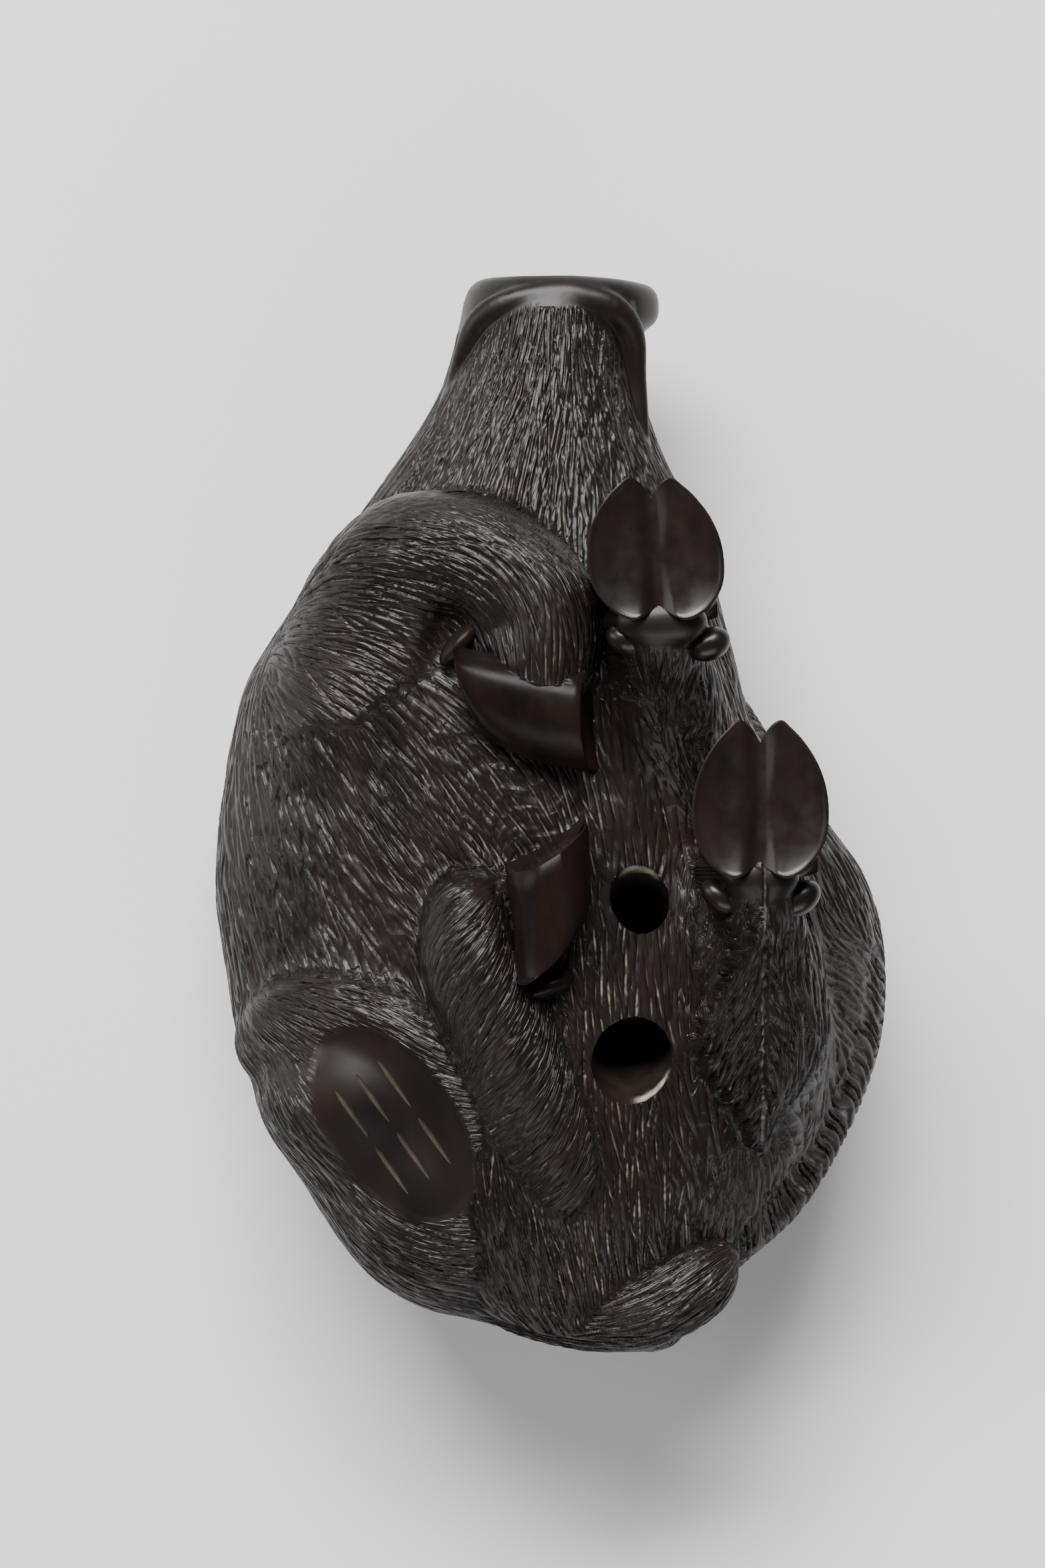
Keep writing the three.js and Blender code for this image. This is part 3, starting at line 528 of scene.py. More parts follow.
mane = np.zeros(fine_shape)
nicks = (0.5 + 0.5 * np.cos(2 * np.pi * slanted / mane_pitch)) ** mane_crispness
mane[on_mane[:, 0], on_mane[:, 1]] = nicks
mane *= smooth_step(*mane_edge, spine_near)

# Locks: random waves drawn out along the combing raise and lower the coat a little.
lock_wave, lock_depth, lock_waves, lock_limit = 1.6, 0.035, 120, 1.6
lock_stretch, lock_doublings = 0.06, 5
dice = np.random.default_rng(11)
grid_i, grid_j = np.meshgrid(np.arange(fine_shape[0]), np.arange(fine_shape[1]), indexing="ij")
locks = np.zeros(fine_shape)
for _ in range(lock_waves):
    toward = dice.normal(size=3)
    toward *= 2 * np.pi / (lock_wave * np.linalg.norm(toward))
    locks += np.cos(skin @ toward + dice.uniform(0, 2 * np.pi))
for first_step in (lock_stretch, -lock_stretch):
    shift_i, shift_j = first_step * step_i, first_step * step_j
    for _ in range(lock_doublings):
        there = grid_i + shift_i, grid_j + shift_j
        locks = (locks + sample(locks, *there)) / 2
        shift_i, shift_j = shift_i + sample(shift_i, *there), shift_j + sample(shift_j, *there)
locks = np.clip(locks / locks.std(), -lock_limit, lock_limit)

# Hairs: grooves that follow the combing, kept a pitch apart.
# Each is cut in one tapering stroke that runs into the next.
hair_depth, hair_step, hair_tries, coat_pitch, tuft_pitch = 0.13, 0.09, 110000, 0.33, 0.36
hair_lengths, hair_swing, hair_strengths = (1.6, 5.0), 0.12, (0.65, 1.2)
half_share, room_share, touch_share, merge_length = 0.38, 0.55, 0.2, 0.7
hair_ends, hair_fullness, fewest_steps = (0.03, 0.97), 0.4, 7
seeds_off_mane, cuts_off_mane, locks_off_mane = 0.5, 0.35, 0.9
bare_limit, end_rows, window_limit, narrow_percent = 0.6, 3, 14, 30
back_weaker, mane_weaker, tuft_deeper = 0.88, 0.6, 1.6
hair_pitch = np.where(on_tuft, tuft_pitch, coat_pitch)
hair_half = half_share * hair_pitch
size_i, size_j = np.sqrt(dot_ii), np.sqrt(dot_jj)
area = np.linalg.norm(np.cross(along_i, along_j), axis=-1) * (1 - bare) * (spine_near > seeds_off_mane)
area[:end_rows] = area[-end_rows:] = 0
seeds = dice.choice(area.size, hair_tries, p=area.ravel() / area.sum())
lengths = dice.uniform(*hair_lengths, hair_tries)
swings = dice.normal(0, hair_swing, hair_tries)
strengths = dice.uniform(*hair_strengths, hair_tries)
taken, cut = np.zeros(fine_shape, bool), np.zeros(fine_shape, bool)
cut[(bare > bare_limit) | (spine_near < cuts_off_mane)] = True
cut[:end_rows] = cut[-end_rows:] = True


def windows(reach):
    cells = [np.clip(np.round(reach / size), 0, window_limit) for size in (size_i, size_j)]
    return [grid.astype(int).tolist() for grid in cells]


def mark(grid, place_i, place_j, tall, wide):
    low, high = place_j - wide, place_j + wide + 1
    grid[place_i - tall:place_i + tall + 1, max(low, 0):high] = True
    if low < 0:
        grid[place_i - tall:place_i + tall + 1, low:] = True
    if high > grid.shape[1]:
        grid[place_i - tall:place_i + tall + 1, :high - grid.shape[1]] = True


room_i, room_j = windows(room_share * hair_pitch)
touch_i, touch_j = windows(touch_share * hair_pitch)
merge_steps = int(merge_length / hair_step)
stretch_ij = size_i / size_j
hairs = []
for seed, hair_length, swing, strength in zip(seeds.tolist(), lengths, swings, strengths):
    i, j = divmod(seed, fine_shape[1])
    if taken[i, j] or cut[i, j]:
        continue
    part = part_here[i, j]
    halves = []
    for side in (1, -1):
        a, b = float(i), float(j)
        line = []
        crowded = 0
        for _ in range(int(hair_length / 2 / hair_step)):
            ia, jb = int(a + 0.5), int(b + 0.5) % fine_shape[1]
            crowded += taken[ia, jb]
            if cut[ia, jb] or crowded > merge_steps or part_here[ia, jb] != part:
                break
            line.append((a, b))
            di, dj = step_i[ia, jb], step_j[ia, jb]
            a += side * hair_step * (di - swing * dj / stretch_ij[ia, jb])
            b += side * hair_step * (dj + swing * di * stretch_ij[ia, jb])
        halves.append(line)
    line = halves[1][:0:-1] + halves[0]
    if len(line) < fewest_steps:
        continue
    for a, b in line:
        ia, jb = int(a + 0.5), int(b + 0.5) % fine_shape[1]
        mark(taken, ia, jb, room_i[ia][jb], room_j[ia][jb])
        mark(cut, ia, jb, touch_i[ia][jb], touch_j[ia][jb])
    t = np.linspace(*hair_ends, len(line))
    hairs.append(np.column_stack([np.array(line), strength * np.sin(np.pi * t) ** hair_fullness]))
hairs = np.vstack(hairs)
groove = np.zeros(fine_shape)
spread_i = int(np.ceil(hair_half.max() / np.median(size_i)))
spread_j = int(np.ceil(hair_half.max() / np.percentile(size_j, narrow_percent)))
base_i, base_j = np.round(hairs[:, 0]).astype(int), np.round(hairs[:, 1]).astype(int)
for shift_i in range(-spread_i, spread_i + 1):
    for shift_j in range(-spread_j, spread_j + 1):
        ia, jb = np.clip(base_i + shift_i, 0, fine_shape[0] - 1), (base_j + shift_j) % fine_shape[1]
        gap_i, gap_j = (base_i + shift_i - hairs[:, 0]), (base_j + shift_j - hairs[:, 1])
        gap = np.sqrt(np.maximum(gap_i ** 2 * dot_ii[ia, jb] + 2 * gap_i * gap_j * dot_ij[ia, jb]
                                 + gap_j ** 2 * dot_jj[ia, jb], 0))
        np.maximum.at(groove, (ia, jb), hairs[:, 2] * np.maximum(1 - gap / hair_half[ia, jb], 0))
groove *= 1 - bare
coat_share = (1 - bare) * (1 - back_weaker * backward[..., 0]) * np.where(on_tuft, tuft_deeper, 1.0)
coat_depth = coat_share * (hair_depth * groove - lock_depth * locks * (spine_near > locks_off_mane))
rope_depth = mane_depth * mane * (1 - mane_weaker * backward[..., 0])
oval_depth = reserve_recess * smooth_step(*recess_edge, reserve_reach)
depth = coat_depth + rope_depth + oval_depth + vein_depth * vein
carved = skin - depth[..., None] * skin_normal
carved[..., 2] = np.maximum(carved[..., 2], back_flat)


def to_frame(points):
    return (np.asarray(points, float) - layout_origin) * MM


def placed(name, data):
    obj = bpy.data.objects.new(name, data)
    bpy.context.collection.objects.link(obj)
    return obj


def mesh_object(name, points, faces):
    mesh = bpy.data.meshes.new(name)
    mesh.from_pydata(to_frame(points).tolist(), [], faces)
    mesh.update()
    return placed(name, mesh)


def ring_faces(ring_count, count):
    """Quads between rings of points, and a fan at each end to two last points."""
    j, i = np.meshgrid(np.arange(ring_count - 1), np.arange(count), indexing="ij")
    k = (i + 1) % count
    quads = np.stack([j * count + i, (j + 1) * count + i, (j + 1) * count + k, j * count + k], -1)
    i = np.arange(count)
    k = (i + 1) % count
    last = (ring_count - 1) * count
    first_fan = np.stack([i, k, np.full(count, ring_count * count)], -1)
    last_fan = np.stack([last + k, last + i, np.full(count, ring_count * count + 1)], -1)
    return quads.reshape(-1, 4).tolist() + first_fan.tolist() + last_fan.tolist()


ends = [fine_start[0, 0], fine_start[-1, 0]]
boar = mesh_object("netsuke_boar", np.vstack([carved.reshape(-1, 3), ends]), ring_faces(*fine_shape))

# The skin is thinned to the facets that its relief needs.
triangle_budget = 168000
thin = boar.modifiers.new("thin", "DECIMATE")
thin.ratio = min(1.0, triangle_budget / (2 * fine_shape[0] * fine_shape[1]))


def settle(obj):
    """The object's mesh with its modifiers applied."""
    bpy.context.view_layer.update()
    evaluated = obj.evaluated_get(bpy.context.evaluated_depsgraph_get())
    mesh = bpy.data.meshes.new_from_object(evaluated)
    obj.modifiers.clear()
    obj.data = mesh


settle(boar)

# Hooves: two polished claws each, with hollow soles and a trough between.
# Heel, ways of toe, leg and outer claw, sizes, and how square the wall is.
hooves = [
    ((4.9, 8.9, 22.2), (-0.07, 1, 0.03), (0, 0, -1), (1, 0, 0), (6.35, 4.0, 3.1), 0.6),
    ((9.5, -2.8, 21.2), (0, 1, 0.02), (0, 0, -1), (1, 0, 0), (7.05, 4.2, 3.1), 0.6),
    ((1.95, 6.5, 18.3), (0, -1, 0), (-1, 0.16, 0), (-0.3, 0, 1), (4.6, 5.9, 2.3), 0.6),
    ((-1.9, -2.3, 18.5), (0.86, 0.51, 0), (0.05, -1, 0), (0.18, -0.34, 1), (4.05, 5.0, 2.2), 0.36)]
# One claw's rim seen from below: places along the hoof and out from its cleft, from the heel to the toe.
claw_rim = [
    (0.09, 0.0), (0.01, 0.2), (-0.02, 0.42), (0.05, 0.7), (0.2, 0.93), (0.36, 1.0), (0.55, 0.97),
    (0.72, 0.84), (0.86, 0.64), (0.95, 0.45), (1.0, 0.3), (0.95, 0.13), (0.85, 0.0)]
rim_per_span, trough_depth, trough_half = 4, 0.5, 1.0
heel_lean, heel_end, wall_taper = 0.2, -0.1, 0.12
wall_angles = np.radians([88, 80, 72, 63, 54, 45, 36, 27, 18, 10, 5, 2, 0.5, 0])
sole_shrinks = (0.985, 0.965, 0.94, 0.9, 0.84, 0.76, 0.65, 0.52, 0.38, 0.24, 0.1)
sole_hollow, sole_middle, sole_slope, sole_lip = 0.34, 0.44, 0.5, -0.02
dish_rim, dish_floor, dish_span = 0.965, 0.1, 0.865


def unit(way):
    return np.array(way, float) / np.linalg.norm(way)


def facing_out(points, faces):
    """The faces, turned over if they face inward."""
    points = np.asarray(points)
    volume = 0
    for face in faces:
        for b, c in zip(face[1:], face[2:]):
            volume += np.dot(points[face[0]], np.cross(points[b], points[c]))
    return faces if volume > 0 else [face[::-1] for face in faces]


def trough(out):
    return trough_depth * (0.5 + 0.5 * np.cos(np.pi * np.minimum(np.abs(out) / trough_half, 1)))


def hoof(heel, toe, leg, side, size, square):
    long, tall, half = size
    claw = spline(claw_rim, rim_per_span)
    rim = np.vstack([claw, claw[-2:0:-1] * (1, -1)])
    t, s = long * rim[:, 0], half * rim[:, 1]
    rings = []
    for angle in wall_angles:
        spread, rise = np.cos(angle) ** square, np.sin(angle) ** square
        along = t * spread - heel_lean * (1 - spread)
        rings.append((along, np.maximum(tall * rise, trough(s)), s * (1 - wall_taper * rise)))
    middle = sole_middle * long
    for shrink in sole_shrinks:
        out = s * shrink
        dish = sole_lip
        if shrink < dish_rim:
            dish = sole_hollow * (1 - ((shrink - dish_floor) / dish_span) ** 3)
        height = dish * smooth_step(0, sole_slope * half, np.abs(out)) + trough(out)
        rings.append((middle + (t - middle) * shrink, height, out))
    ends = [(heel_end, tall, 0), (middle, trough_depth, 0)]
    local = np.concatenate([np.stack(ring, -1) for ring in rings] + [ends])
    points = np.array(heel) + local @ np.stack([unit(toe), unit(leg), unit(side)])
    return points, ring_faces(len(rings), len(rim))


def ellipsoid(centre, half, turn, around=32, rows=18):
    tilt = np.linspace(-np.pi / 2, np.pi / 2, rows + 2)[1:-1, None]
    angle = turns(around)[None]
    x, y = np.cos(tilt) * np.cos(angle), np.cos(tilt) * np.sin(angle)
    rings = np.stack([x, y, np.sin(tilt) + 0 * angle], -1)
    local = np.vstack([rings.reshape(-1, 3), [(0, 0, -1), (0, 0, 1)]]) * half
    cos, sin = np.cos(np.radians(turn)), np.sin(np.radians(turn))
    x, y = local[:, 0] * cos - local[:, 1] * sin, local[:, 0] * sin + local[:, 1] * cos
    return np.stack([x, y, local[:, 2]], -1) + centre, ring_faces(rows, around)


dewclaws = [
    ((3.4, 7.9, 20.3), (0.95, 0.7, 0.7), -25), ((7.2, 7.7, 20.1), (1.0, 0.75, 0.7), 25),
    ((7.7, -3.8, 19.4), (1.0, 0.65, 0.7), -40), ((11.3, -3.9, 19.1), (1.1, 0.75, 0.7), 35),
    ((-4.2, 7.7, 18.0), (1.25, 0.55, 0.85), 50), ((-0.4, -8.0, 18.0), (1.5, 0.55, 0.85), 20)]
horn_meshes = [hoof(*sizes) for sizes in hooves] + [ellipsoid(*form) for form in dewclaws]

# Cord holes: two round holes that slant together under the belly. Mouth, inner end, radius at each.
cord_holes = [
    ((3.6, -12.7, 20.0), (4.0, -8.2, 11.6), (2.05, 1.4)),
    ((4.1, -2.5, 20.0), (4.0, -7.2, 11.6), (1.4, 1.3))]
nostrils = [((-0.7, 25.0, 8.9), (0.75, 0.5, 1.0), 0), ((1.9, 25.0, 8.9), (0.75, 0.5, 1.0), 0)]


def bore(mouth, end, radii, around=56, rows=40):
    mouth, end = np.array(mouth, float), np.array(end, float)
    axis = unit(end - mouth)
    across = unit(np.cross(axis, (0, 1, 0)))
    upward = np.cross(axis, across)
    angle = turns(around)[None, :, None]
    t = np.linspace(0, 1, rows)[:, None, None]
    radius = radii[0] + t * (radii[1] - radii[0])
    points = mouth + t * (end - mouth) + radius * (np.cos(angle) * across + np.sin(angle) * upward)
    return np.vstack([points.reshape(-1, 3), [mouth, end]]), ring_faces(rows, around)


# Strokes: two rows of fine cuts along the smooth oval.
stroke_rows, stroke_columns = (1.7, -1.5), (-1.2, 0.0, 1.2)
stroke_half, stroke_depth, stroke_dust, stroke_aside = (1.3, 0.11), 0.13, 0.11, 0.1
stroke_swell, stroke_thinning, stroke_closing = 1.15, 0.35, 0.97
above_oval, oval_steps = 22.0, 60


def on_oval(along, across):
    """Points of the smooth oval's floor, by places along and across it."""
    x = reserve_centre[0] + along * np.cos(reserve_turn) - across * np.sin(reserve_turn)
    y = reserve_centre[1] + along * np.sin(reserve_turn) + across * np.cos(reserve_turn)
    z = np.full(len(x), above_oval)
    for _ in range(oval_steps):
        z -= stride * boar_distance(np.stack([x, y, z], -1))
    return np.stack([x, y, z - reserve_recess], -1)


def stroke(row, column, rows=24, around=12):
    t = np.linspace(-1, 1, rows)
    along = row + stroke_half[0] * t
    middle = on_oval(along, np.full(rows, column))
    across = on_oval(along, np.full(rows, column + stroke_aside)) - middle
    across /= norms(across)
    inward = np.cross(across, np.gradient(middle, axis=0))
    inward /= norms(inward)
    taper = (stroke_swell - stroke_thinning * t) * np.sqrt(1 - stroke_closing * t ** 2)
    angle = turns(around)[None, :, None]
    sideways = stroke_half[1] * np.cos(angle) * across[:, None]
    downward = stroke_depth * np.sin(angle) * inward[:, None]
    rings = middle[:, None] + taper[:, None, None] * (sideways + downward)
    return np.vstack([rings.reshape(-1, 3), [middle[0], middle[-1]]]), ring_faces(rows, around)


hole_meshes = [bore(*hole) for hole in cord_holes] + [ellipsoid(*form) for form in nostrils]
hole_meshes += [stroke(row, column) for row in stroke_rows for column in stroke_columns]
coat_wood = bpy.data.materials.new("engraved_wood")
horn_wood = bpy.data.materials.new("polished_wood")
hole_wood = bpy.data.materials.new("bored_wood")
woods = coat_wood, horn_wood, hole_wood
for material in woods:
    boar.data.materials.append(material)
helpers = []
for number, (points, faces) in enumerate(horn_meshes + hole_meshes):
    helper = mesh_object(f"tool_{number}", points, facing_out(points, faces))
    is_hole = number >= len(horn_meshes)
    wood = hole_wood if is_hole else horn_wood
    for material in woods:
        helper.data.materials.append(material)
    helper.data.polygons.foreach_set("material_index", [woods.index(wood)] * len(faces))
    joint = boar.modifiers.new(helper.name, "BOOLEAN")
    joint.operation = "DIFFERENCE" if is_hole else "UNION"
    joint.solver = "MANIFOLD"
    joint.object = helper
    helpers.append(helper)
settle(boar)
for helper in helpers:
    bpy.data.objects.remove(helper)

# What the finish needs to know at each point: where it lies on the skin's grid, how deep it is engraved,
# how bare and polished it is, where dust has stayed, and where pale colour is painted as highlight or
# light.
mesh = boar.data
points = np.empty(len(mesh.vertices) * 3)
mesh.vertices.foreach_get("co", points)
points = points.reshape(-1, 3) / MM + layout_origin
place_i = np.interp(points[:, 1], stations(fine_shape[0]), np.arange(fine_shape[0]))
x, half_width, z, half_height = trunk_section(points[:, 1])
toward_x = (points[:, 0] - x) / half_width - ray_start[0]
toward_z = (points[:, 2] - z) / half_height - ray_start[1]
square = toward_x ** 2 + toward_z ** 2 + 1e-12
inner = ray_start[0] * toward_x + ray_start[1] * toward_z
inside_oval = ray_start[0] ** 2 + ray_start[1] ** 2 - 1
reach = (-inner + np.sqrt(inner ** 2 - square * inside_oval)) / square
oval_angle = np.arctan2(ray_start[1] + reach * toward_z, ray_start[0] + reach * toward_x)
oval_angle = np.where(oval_angle < 0, oval_angle + 2 * np.pi, oval_angle)
turn_table = np.linspace(-np.pi, 3 * np.pi, 4001)
turn = np.interp(oval_angle, turn_table + ray_crowding * np.cos(turn_table), turn_table)
place_j = (turn / (2 * np.pi) * fine_shape[1]) % fine_shape[1]

# Dust in the cuts of the tuft, most of it left of the parting, where the pale cuts are also a painted
# highlight for the glints on the ridges.
left_dust_and_glint, right_dust, parting_half, dust_and_glint_below = 0.8, 0.25, 0.25, -4.5
left_lobe = skin[..., 0] < parting - parting_half
tuft_dust_and_glint = np.where(left_lobe, left_dust_and_glint, right_dust)
dust_and_glint = np.where(on_tuft & (skin[..., 1] < dust_and_glint_below), tuft_dust_and_glint, 0.0)

# Pale rims of the cord holes: pale cut wood with painted light where light falls on the wall, by how far
# the wall lies under the skin and on which side of the mouth.
rim_top, rim_foot, lower_edge, upper_edge = (0.02, 0.12), (0.6, 0.35), (0.75, 0.95), (0.7, 0.95)
lower_mouth, upper_mouth, between_mouths, lower_side = (3.7, -11.4), (4.1, -4.0), -8, 0.87
below = -boar_distance(points)
lit_pale_rim = smooth_step(*rim_top, below) * smooth_step(*rim_foot, below)
lower_turn = np.arctan2(points[:, 1] - lower_mouth[1], points[:, 0] - lower_mouth[0])
upper_turn = np.arctan2(points[:, 1] - upper_mouth[1], points[:, 0] - upper_mouth[0])
lower_lit_side = smooth_step(*lower_edge, np.cos(lower_turn + lower_side))
upper_lit_side = smooth_step(*upper_edge, np.abs(np.sin(upper_turn)))
lit_pale_rim *= np.where(points[:, 1] < between_mouths, lower_lit_side, upper_lit_side)

# Each value is kept on the mesh for the woods to read.
strokes_left_of, mouths_below, rubbed_right_of, rubbed_above = -3, 5, 2.4, 8.5
furred_edge, fine_pitch, fine_run, sharp_angle = (0.75, 0.3), 0.10, 1.6, np.radians(55)
lit_mouth_rim = np.where(points[:, 1] < mouths_below, lit_pale_rim, 0)
combed = sample(inside * 1.0, place_i / thinned, place_j / thinned)
right_hooves = (points[:, 0] > rubbed_right_of) | (points[:, 1] > rubbed_above)
finish = {
    "engraved": sample(np.maximum.reduce([groove, mane, vein]), place_i, place_j),
    "bare": sample(bare, place_i, place_j),
    "dust_and_glint": sample(dust_and_glint, place_i, place_j),
    "furred": combed * sample(smooth_step(*furred_edge, bare), place_i, place_j),
    "rim": np.where(points[:, 0] < strokes_left_of, stroke_dust, lit_mouth_rim),
    "rubbed": np.where(right_hooves, 1.0, 0.0)}
for name, values in finish.items():
    mesh.attributes.new(name, "FLOAT", "POINT").data.foreach_set("value", values.astype(np.float32))
strand_place = sample(across_place, place_i / thinned, place_j / thinned) / fine_pitch
strands = np.stack([strand_place, points[:, 0] / fine_run, points[:, 1] / fine_run], -1)
strand_values = mesh.attributes.new("strands", "FLOAT_VECTOR", "POINT")
strand_values.data.foreach_set("vector", strands.astype(np.float32).ravel())
mesh.polygons.foreach_set("use_smooth", [True] * len(mesh.polygons))
mesh.set_sharp_from_angle(angle=sharp_angle)


def shader(material):
    material.use_nodes = True
    tree = material.node_tree
    return tree, tree.nodes["Principled BSDF"]


def attribute(tree, name, output="Fac"):
    node = tree.nodes.new("ShaderNodeAttribute")
    node.attribute_name = name
    return node.outputs[output]


def clouds(tree, place, scale, detail):
    node = tree.nodes.new("ShaderNodeTexNoise")
    node.inputs["Scale"].default_value = scale
    node.inputs["Detail"].default_value = detail
    tree.links.new(place, node.inputs["Vector"])
    return node.outputs["Fac"]


def noise(tree, size, detail=4.0, stretch=None):
    place = tree.nodes.new("ShaderNodeTexCoord").outputs["Object"]
    if stretch is not None:
        mapping = tree.nodes.new("ShaderNodeMapping")
        mapping.inputs["Scale"].default_value = stretch
        tree.links.new(place, mapping.inputs["Vector"])
        place = mapping.outputs["Vector"]
    return clouds(tree, place, 1 / (size * MM), detail)


def ramp(tree, value, *stops):
    node = tree.nodes.new("ShaderNodeValToRGB")
    tree.links.new(value, node.inputs["Fac"])
    elements = node.color_ramp.elements
    while len(elements) < len(stops):
        elements.new(0.5)
    for element, (place, colour) in zip(elements, stops):
        element.position = place
        element.color = (*colour, 1)
    return node.outputs["Color"]


def mixed(tree, share, first, second):
    node = tree.nodes.new("ShaderNodeMix")
    node.data_type = "RGBA"
    tree.links.new(share, node.inputs["Factor"])
    tree.links.new(first, node.inputs["A"])
    tree.links.new(second, node.inputs["B"])
    return node.outputs["Result"]


def reckon(tree, operation, *values):
    node = tree.nodes.new("ShaderNodeMath")
    node.operation = operation
    for socket, value in zip(node.inputs, values):
        tree.links.new(value, socket)
    return node.outputs[0]


def bump(tree, height, strength, depth):
    node = tree.nodes.new("ShaderNodeBump")
    node.inputs["Strength"].default_value = strength
    node.inputs["Distance"].default_value = depth * MM
    tree.links.new(height, node.inputs["Height"])
    return node


def grey(tone):
    return tone, tone, tone


# The engraved wood: dark, with a grain along the body, and pale dust in patches of the cuts, which on the
# tuft's left lobe is also a painted highlight.
BLACK, WHITE = grey(0), grey(1)
coat_dark, coat_light, coat_grain = (0.0050, 0.0036, 0.0032), (0.0120, 0.0074, 0.0060), (1, 0.3, 1)
dust_dark, dust_light = (0.14, 0.108, 0.078), (0.30, 0.27, 0.23)
tree, coat = shader(coat_wood)
wood = ramp(tree, noise(tree, 2.5, stretch=coat_grain), (0.3, coat_dark), (0.7, coat_light))
dust = ramp(tree, noise(tree, 1.2), (0.3, dust_dark), (0.7, dust_light))
engraved = attribute(tree, "engraved")
cuts = ramp(tree, engraved, (0.5, BLACK), (0.85, WHITE))
wide_patches = ramp(tree, noise(tree, 4.0, 3), (0.35, grey(0.3)), (0.62, WHITE))
small_patches = ramp(tree, noise(tree, 0.5, 3), (0.35, grey(0.1)), (0.6, WHITE))
patchy = reckon(tree, "MULTIPLY", wide_patches, small_patches)
# The pale fill of the cuts is dust, and on the tuft's left lobe also a painted highlight.
filled = reckon(tree, "MULTIPLY", cuts, reckon(tree, "MAXIMUM", patchy, attribute(tree, "dust_and_glint")))
tree.links.new(mixed(tree, filled, wood, dust), coat.inputs["Base Color"])
polish = attribute(tree, "bare")
worn = ramp(tree, polish, (0.2, grey(0.36)), (0.8, grey(0.38)), (1.0, grey(0.5)))
rough = ramp(tree, engraved, (0.2, BLACK), (0.6, grey(0.7)))
tree.links.new(reckon(tree, "MAXIMUM", worn, rough), coat.inputs["Roughness"])
shine = ramp(tree, polish, (0.8, grey(0.25)), (1.0, grey(0.14)))
tree.links.new(shine, coat.inputs["Specular IOR Level"])
relief = bump(tree, ramp(tree, engraved, (0.2, BLACK), (0.9, WHITE)), strength=0.6, depth=0.06)
relief.invert = True
strand_clouds = clouds(tree, attribute(tree, "strands", "Vector"), scale=1.0, detail=1.0)
strand_lines = ramp(tree, strand_clouds, (0.4, BLACK), (0.58, WHITE))
fine = reckon(tree, "MULTIPLY", strand_lines, attribute(tree, "furred"))
fine_relief = bump(tree, fine, strength=0.9, depth=0.05)
tree.links.new(relief.outputs["Normal"], fine_relief.inputs["Normal"])
tree.links.new(fine_relief.outputs["Normal"], coat.inputs["Normal"])

# The polished wood of the hooves and dewclaws.
horn_dark, horn_light, horn_grain = (0.005, 0.0035, 0.0032), (0.0125, 0.0072, 0.0063), (1, 0.4, 1)
tree, horn = shader(horn_wood)
grain = ramp(tree, noise(tree, 1.6, stretch=horn_grain), (0.3, horn_dark), (0.7, horn_light))
tree.links.new(grain, horn.inputs["Base Color"])
smudges = ramp(tree, noise(tree, 0.8), (0.3, grey(0.24)), (0.7, grey(0.36)))
tree.links.new(smudges, horn.inputs["Roughness"])
shine = ramp(tree, attribute(tree, "rubbed"), (0, grey(0.08)), (1, grey(0.32)))
tree.links.new(shine, horn.inputs["Specular IOR Level"])

# The bored wood inside the holes, nostrils and strokes, with pale dust in the strokes and painted light on
# the cord holes' rims.
wall_dark, wall_light = (0.006, 0.004, 0.003), (0.014, 0.009, 0.0065)
# The pale colour: dust in the strokes, and pale cut wood with painted light at the cord holes' rims.
rim_dark, rim_light = (0.22, 0.19, 0.15), (0.36, 0.32, 0.26)
wall_roughness, wall_shine = 0.7, 0.1
tree, hole = shader(hole_wood)
wall = ramp(tree, noise(tree, 0.9), (0.3, wall_dark), (0.7, wall_light))
rim = ramp(tree, noise(tree, 0.5), (0.3, rim_dark), (0.7, rim_light))
tree.links.new(mixed(tree, attribute(tree, "rim"), wall, rim), hole.inputs["Base Color"])
hole.inputs["Roughness"].default_value = wall_roughness
hole.inputs["Specular IOR Level"].default_value = wall_shine

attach(boar, "root")
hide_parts("carved_boar")


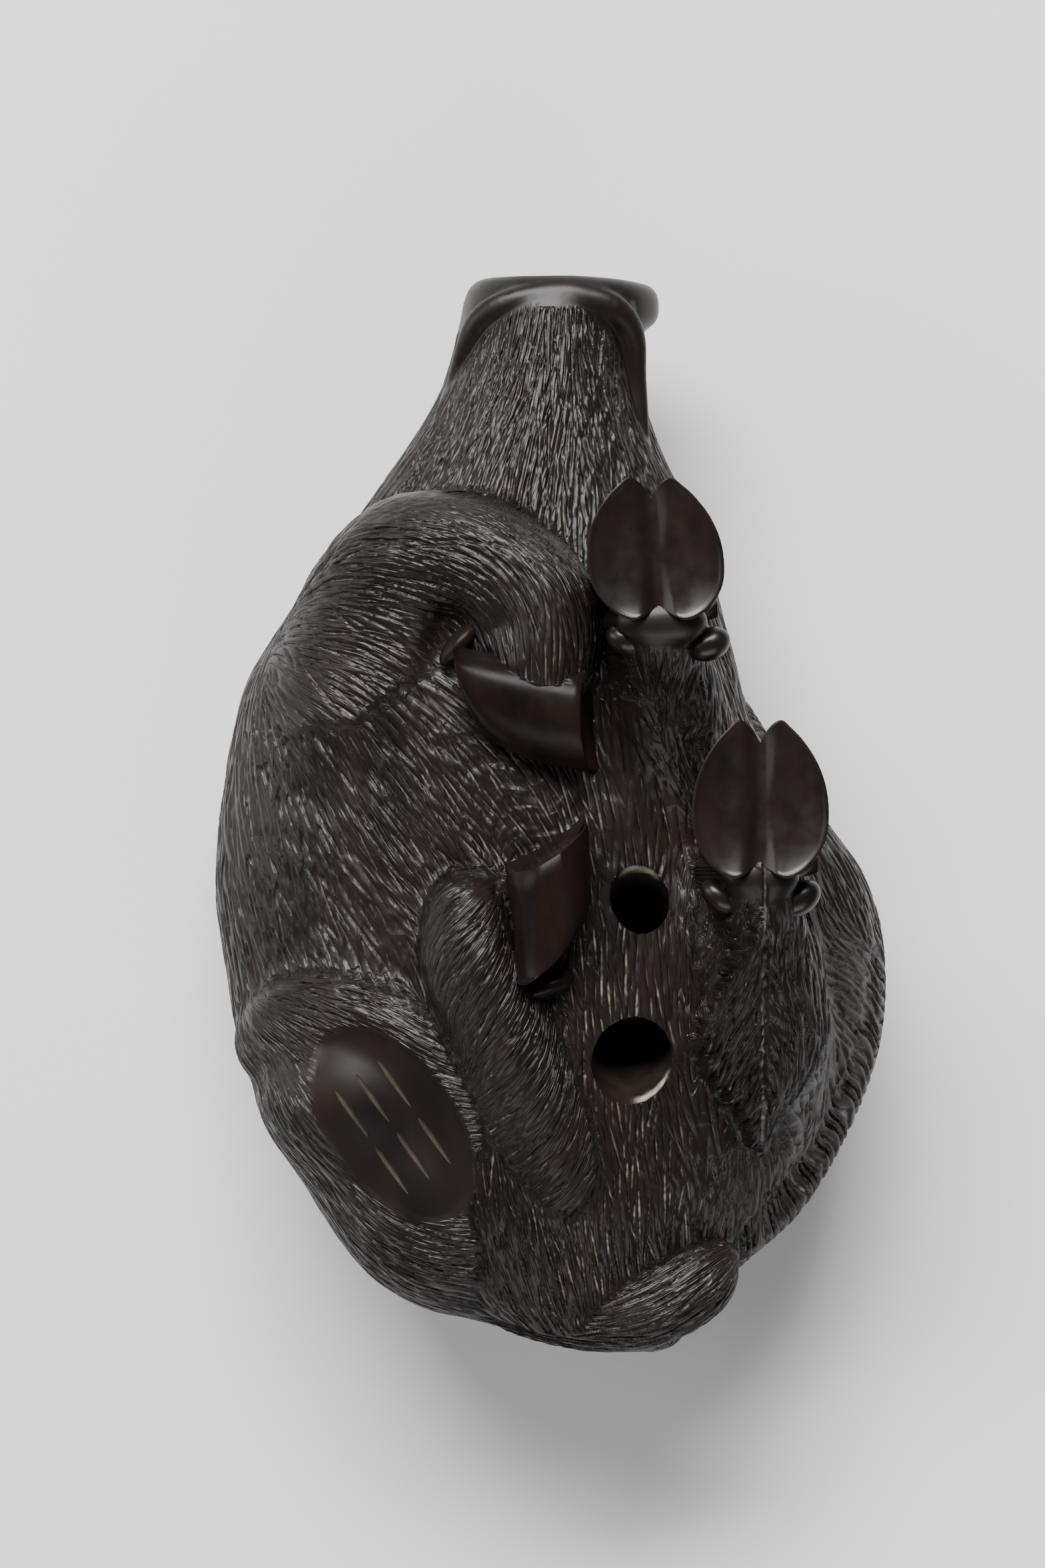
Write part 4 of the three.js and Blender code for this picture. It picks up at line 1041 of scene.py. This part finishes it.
# The floor: one wide sheet of pale matte paper, laid flat, that the netsuke rests on.
# It is only a plain ground to see the carving against.
floor_half, paper_dark, paper_light, paper_roughness = 0.9, 0.70, 0.73, 0.9
corners = [(-floor_half, -floor_half, 0), (floor_half, -floor_half, 0),
           (floor_half, floor_half, 0), (-floor_half, floor_half, 0)]
floor_mesh = bpy.data.meshes.new("paper_floor")
floor_mesh.from_pydata(corners, [], [(0, 1, 2, 3)])
floor = placed("paper_floor", floor_mesh)
paper = bpy.data.materials.new("pale_paper")
tree, sheet = shader(paper)
tone = ramp(tree, noise(tree, 60, 2), (0.3, grey(paper_dark)), (0.7, grey(paper_light)))
tree.links.new(tone, sheet.inputs["Base Color"])
sheet.inputs["Roughness"].default_value = paper_roughness
floor.data.materials.append(paper)
floor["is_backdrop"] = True


# Studio light: soft boxes above the snout and to both sides, and a pale room around.
# The camera looks straight down on the belly.
def soft_box(name, place, size, power):
    light = bpy.data.lights.new(name, "AREA")
    light.shape = "RECTANGLE"
    light.size, light.size_y = size
    light.energy = power
    lamp = placed(name, light)
    lamp.location = place
    lamp.rotation_euler = (-lamp.location).to_track_quat("-Z", "Y").to_euler()


soft_box("key", (-0.08, 0.40, 0.46), (0.50, 0.24), 11.0)
soft_box("side", (-0.55, 0.10, 0.28), (0.25, 0.4), 1.4)
soft_box("low", (0.05, -0.50, 0.35), (0.6, 0.3), 2.0)
room_strength = 0.10
room = bpy.data.worlds.new("pale_room")
bpy.context.scene.world = room
room.use_nodes = True
glow = room.node_tree.nodes["Background"]
glow.inputs["Color"].default_value = (*WHITE, 1)
glow.inputs["Strength"].default_value = room_strength

camera_place, film_height, focal_length, farthest_seen = (-0.001348, 0.001371, 0.47015), 36, 227.4, 10
lens = bpy.data.cameras.new("camera")
lens.sensor_fit = "VERTICAL"
lens.sensor_height = film_height
lens.lens = focal_length
lens.clip_end = farthest_seen
camera = placed("camera", lens)
camera.location = camera_place
bpy.context.scene.camera = camera

[[list(corner) for corner in box] for box in (cad_box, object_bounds())]
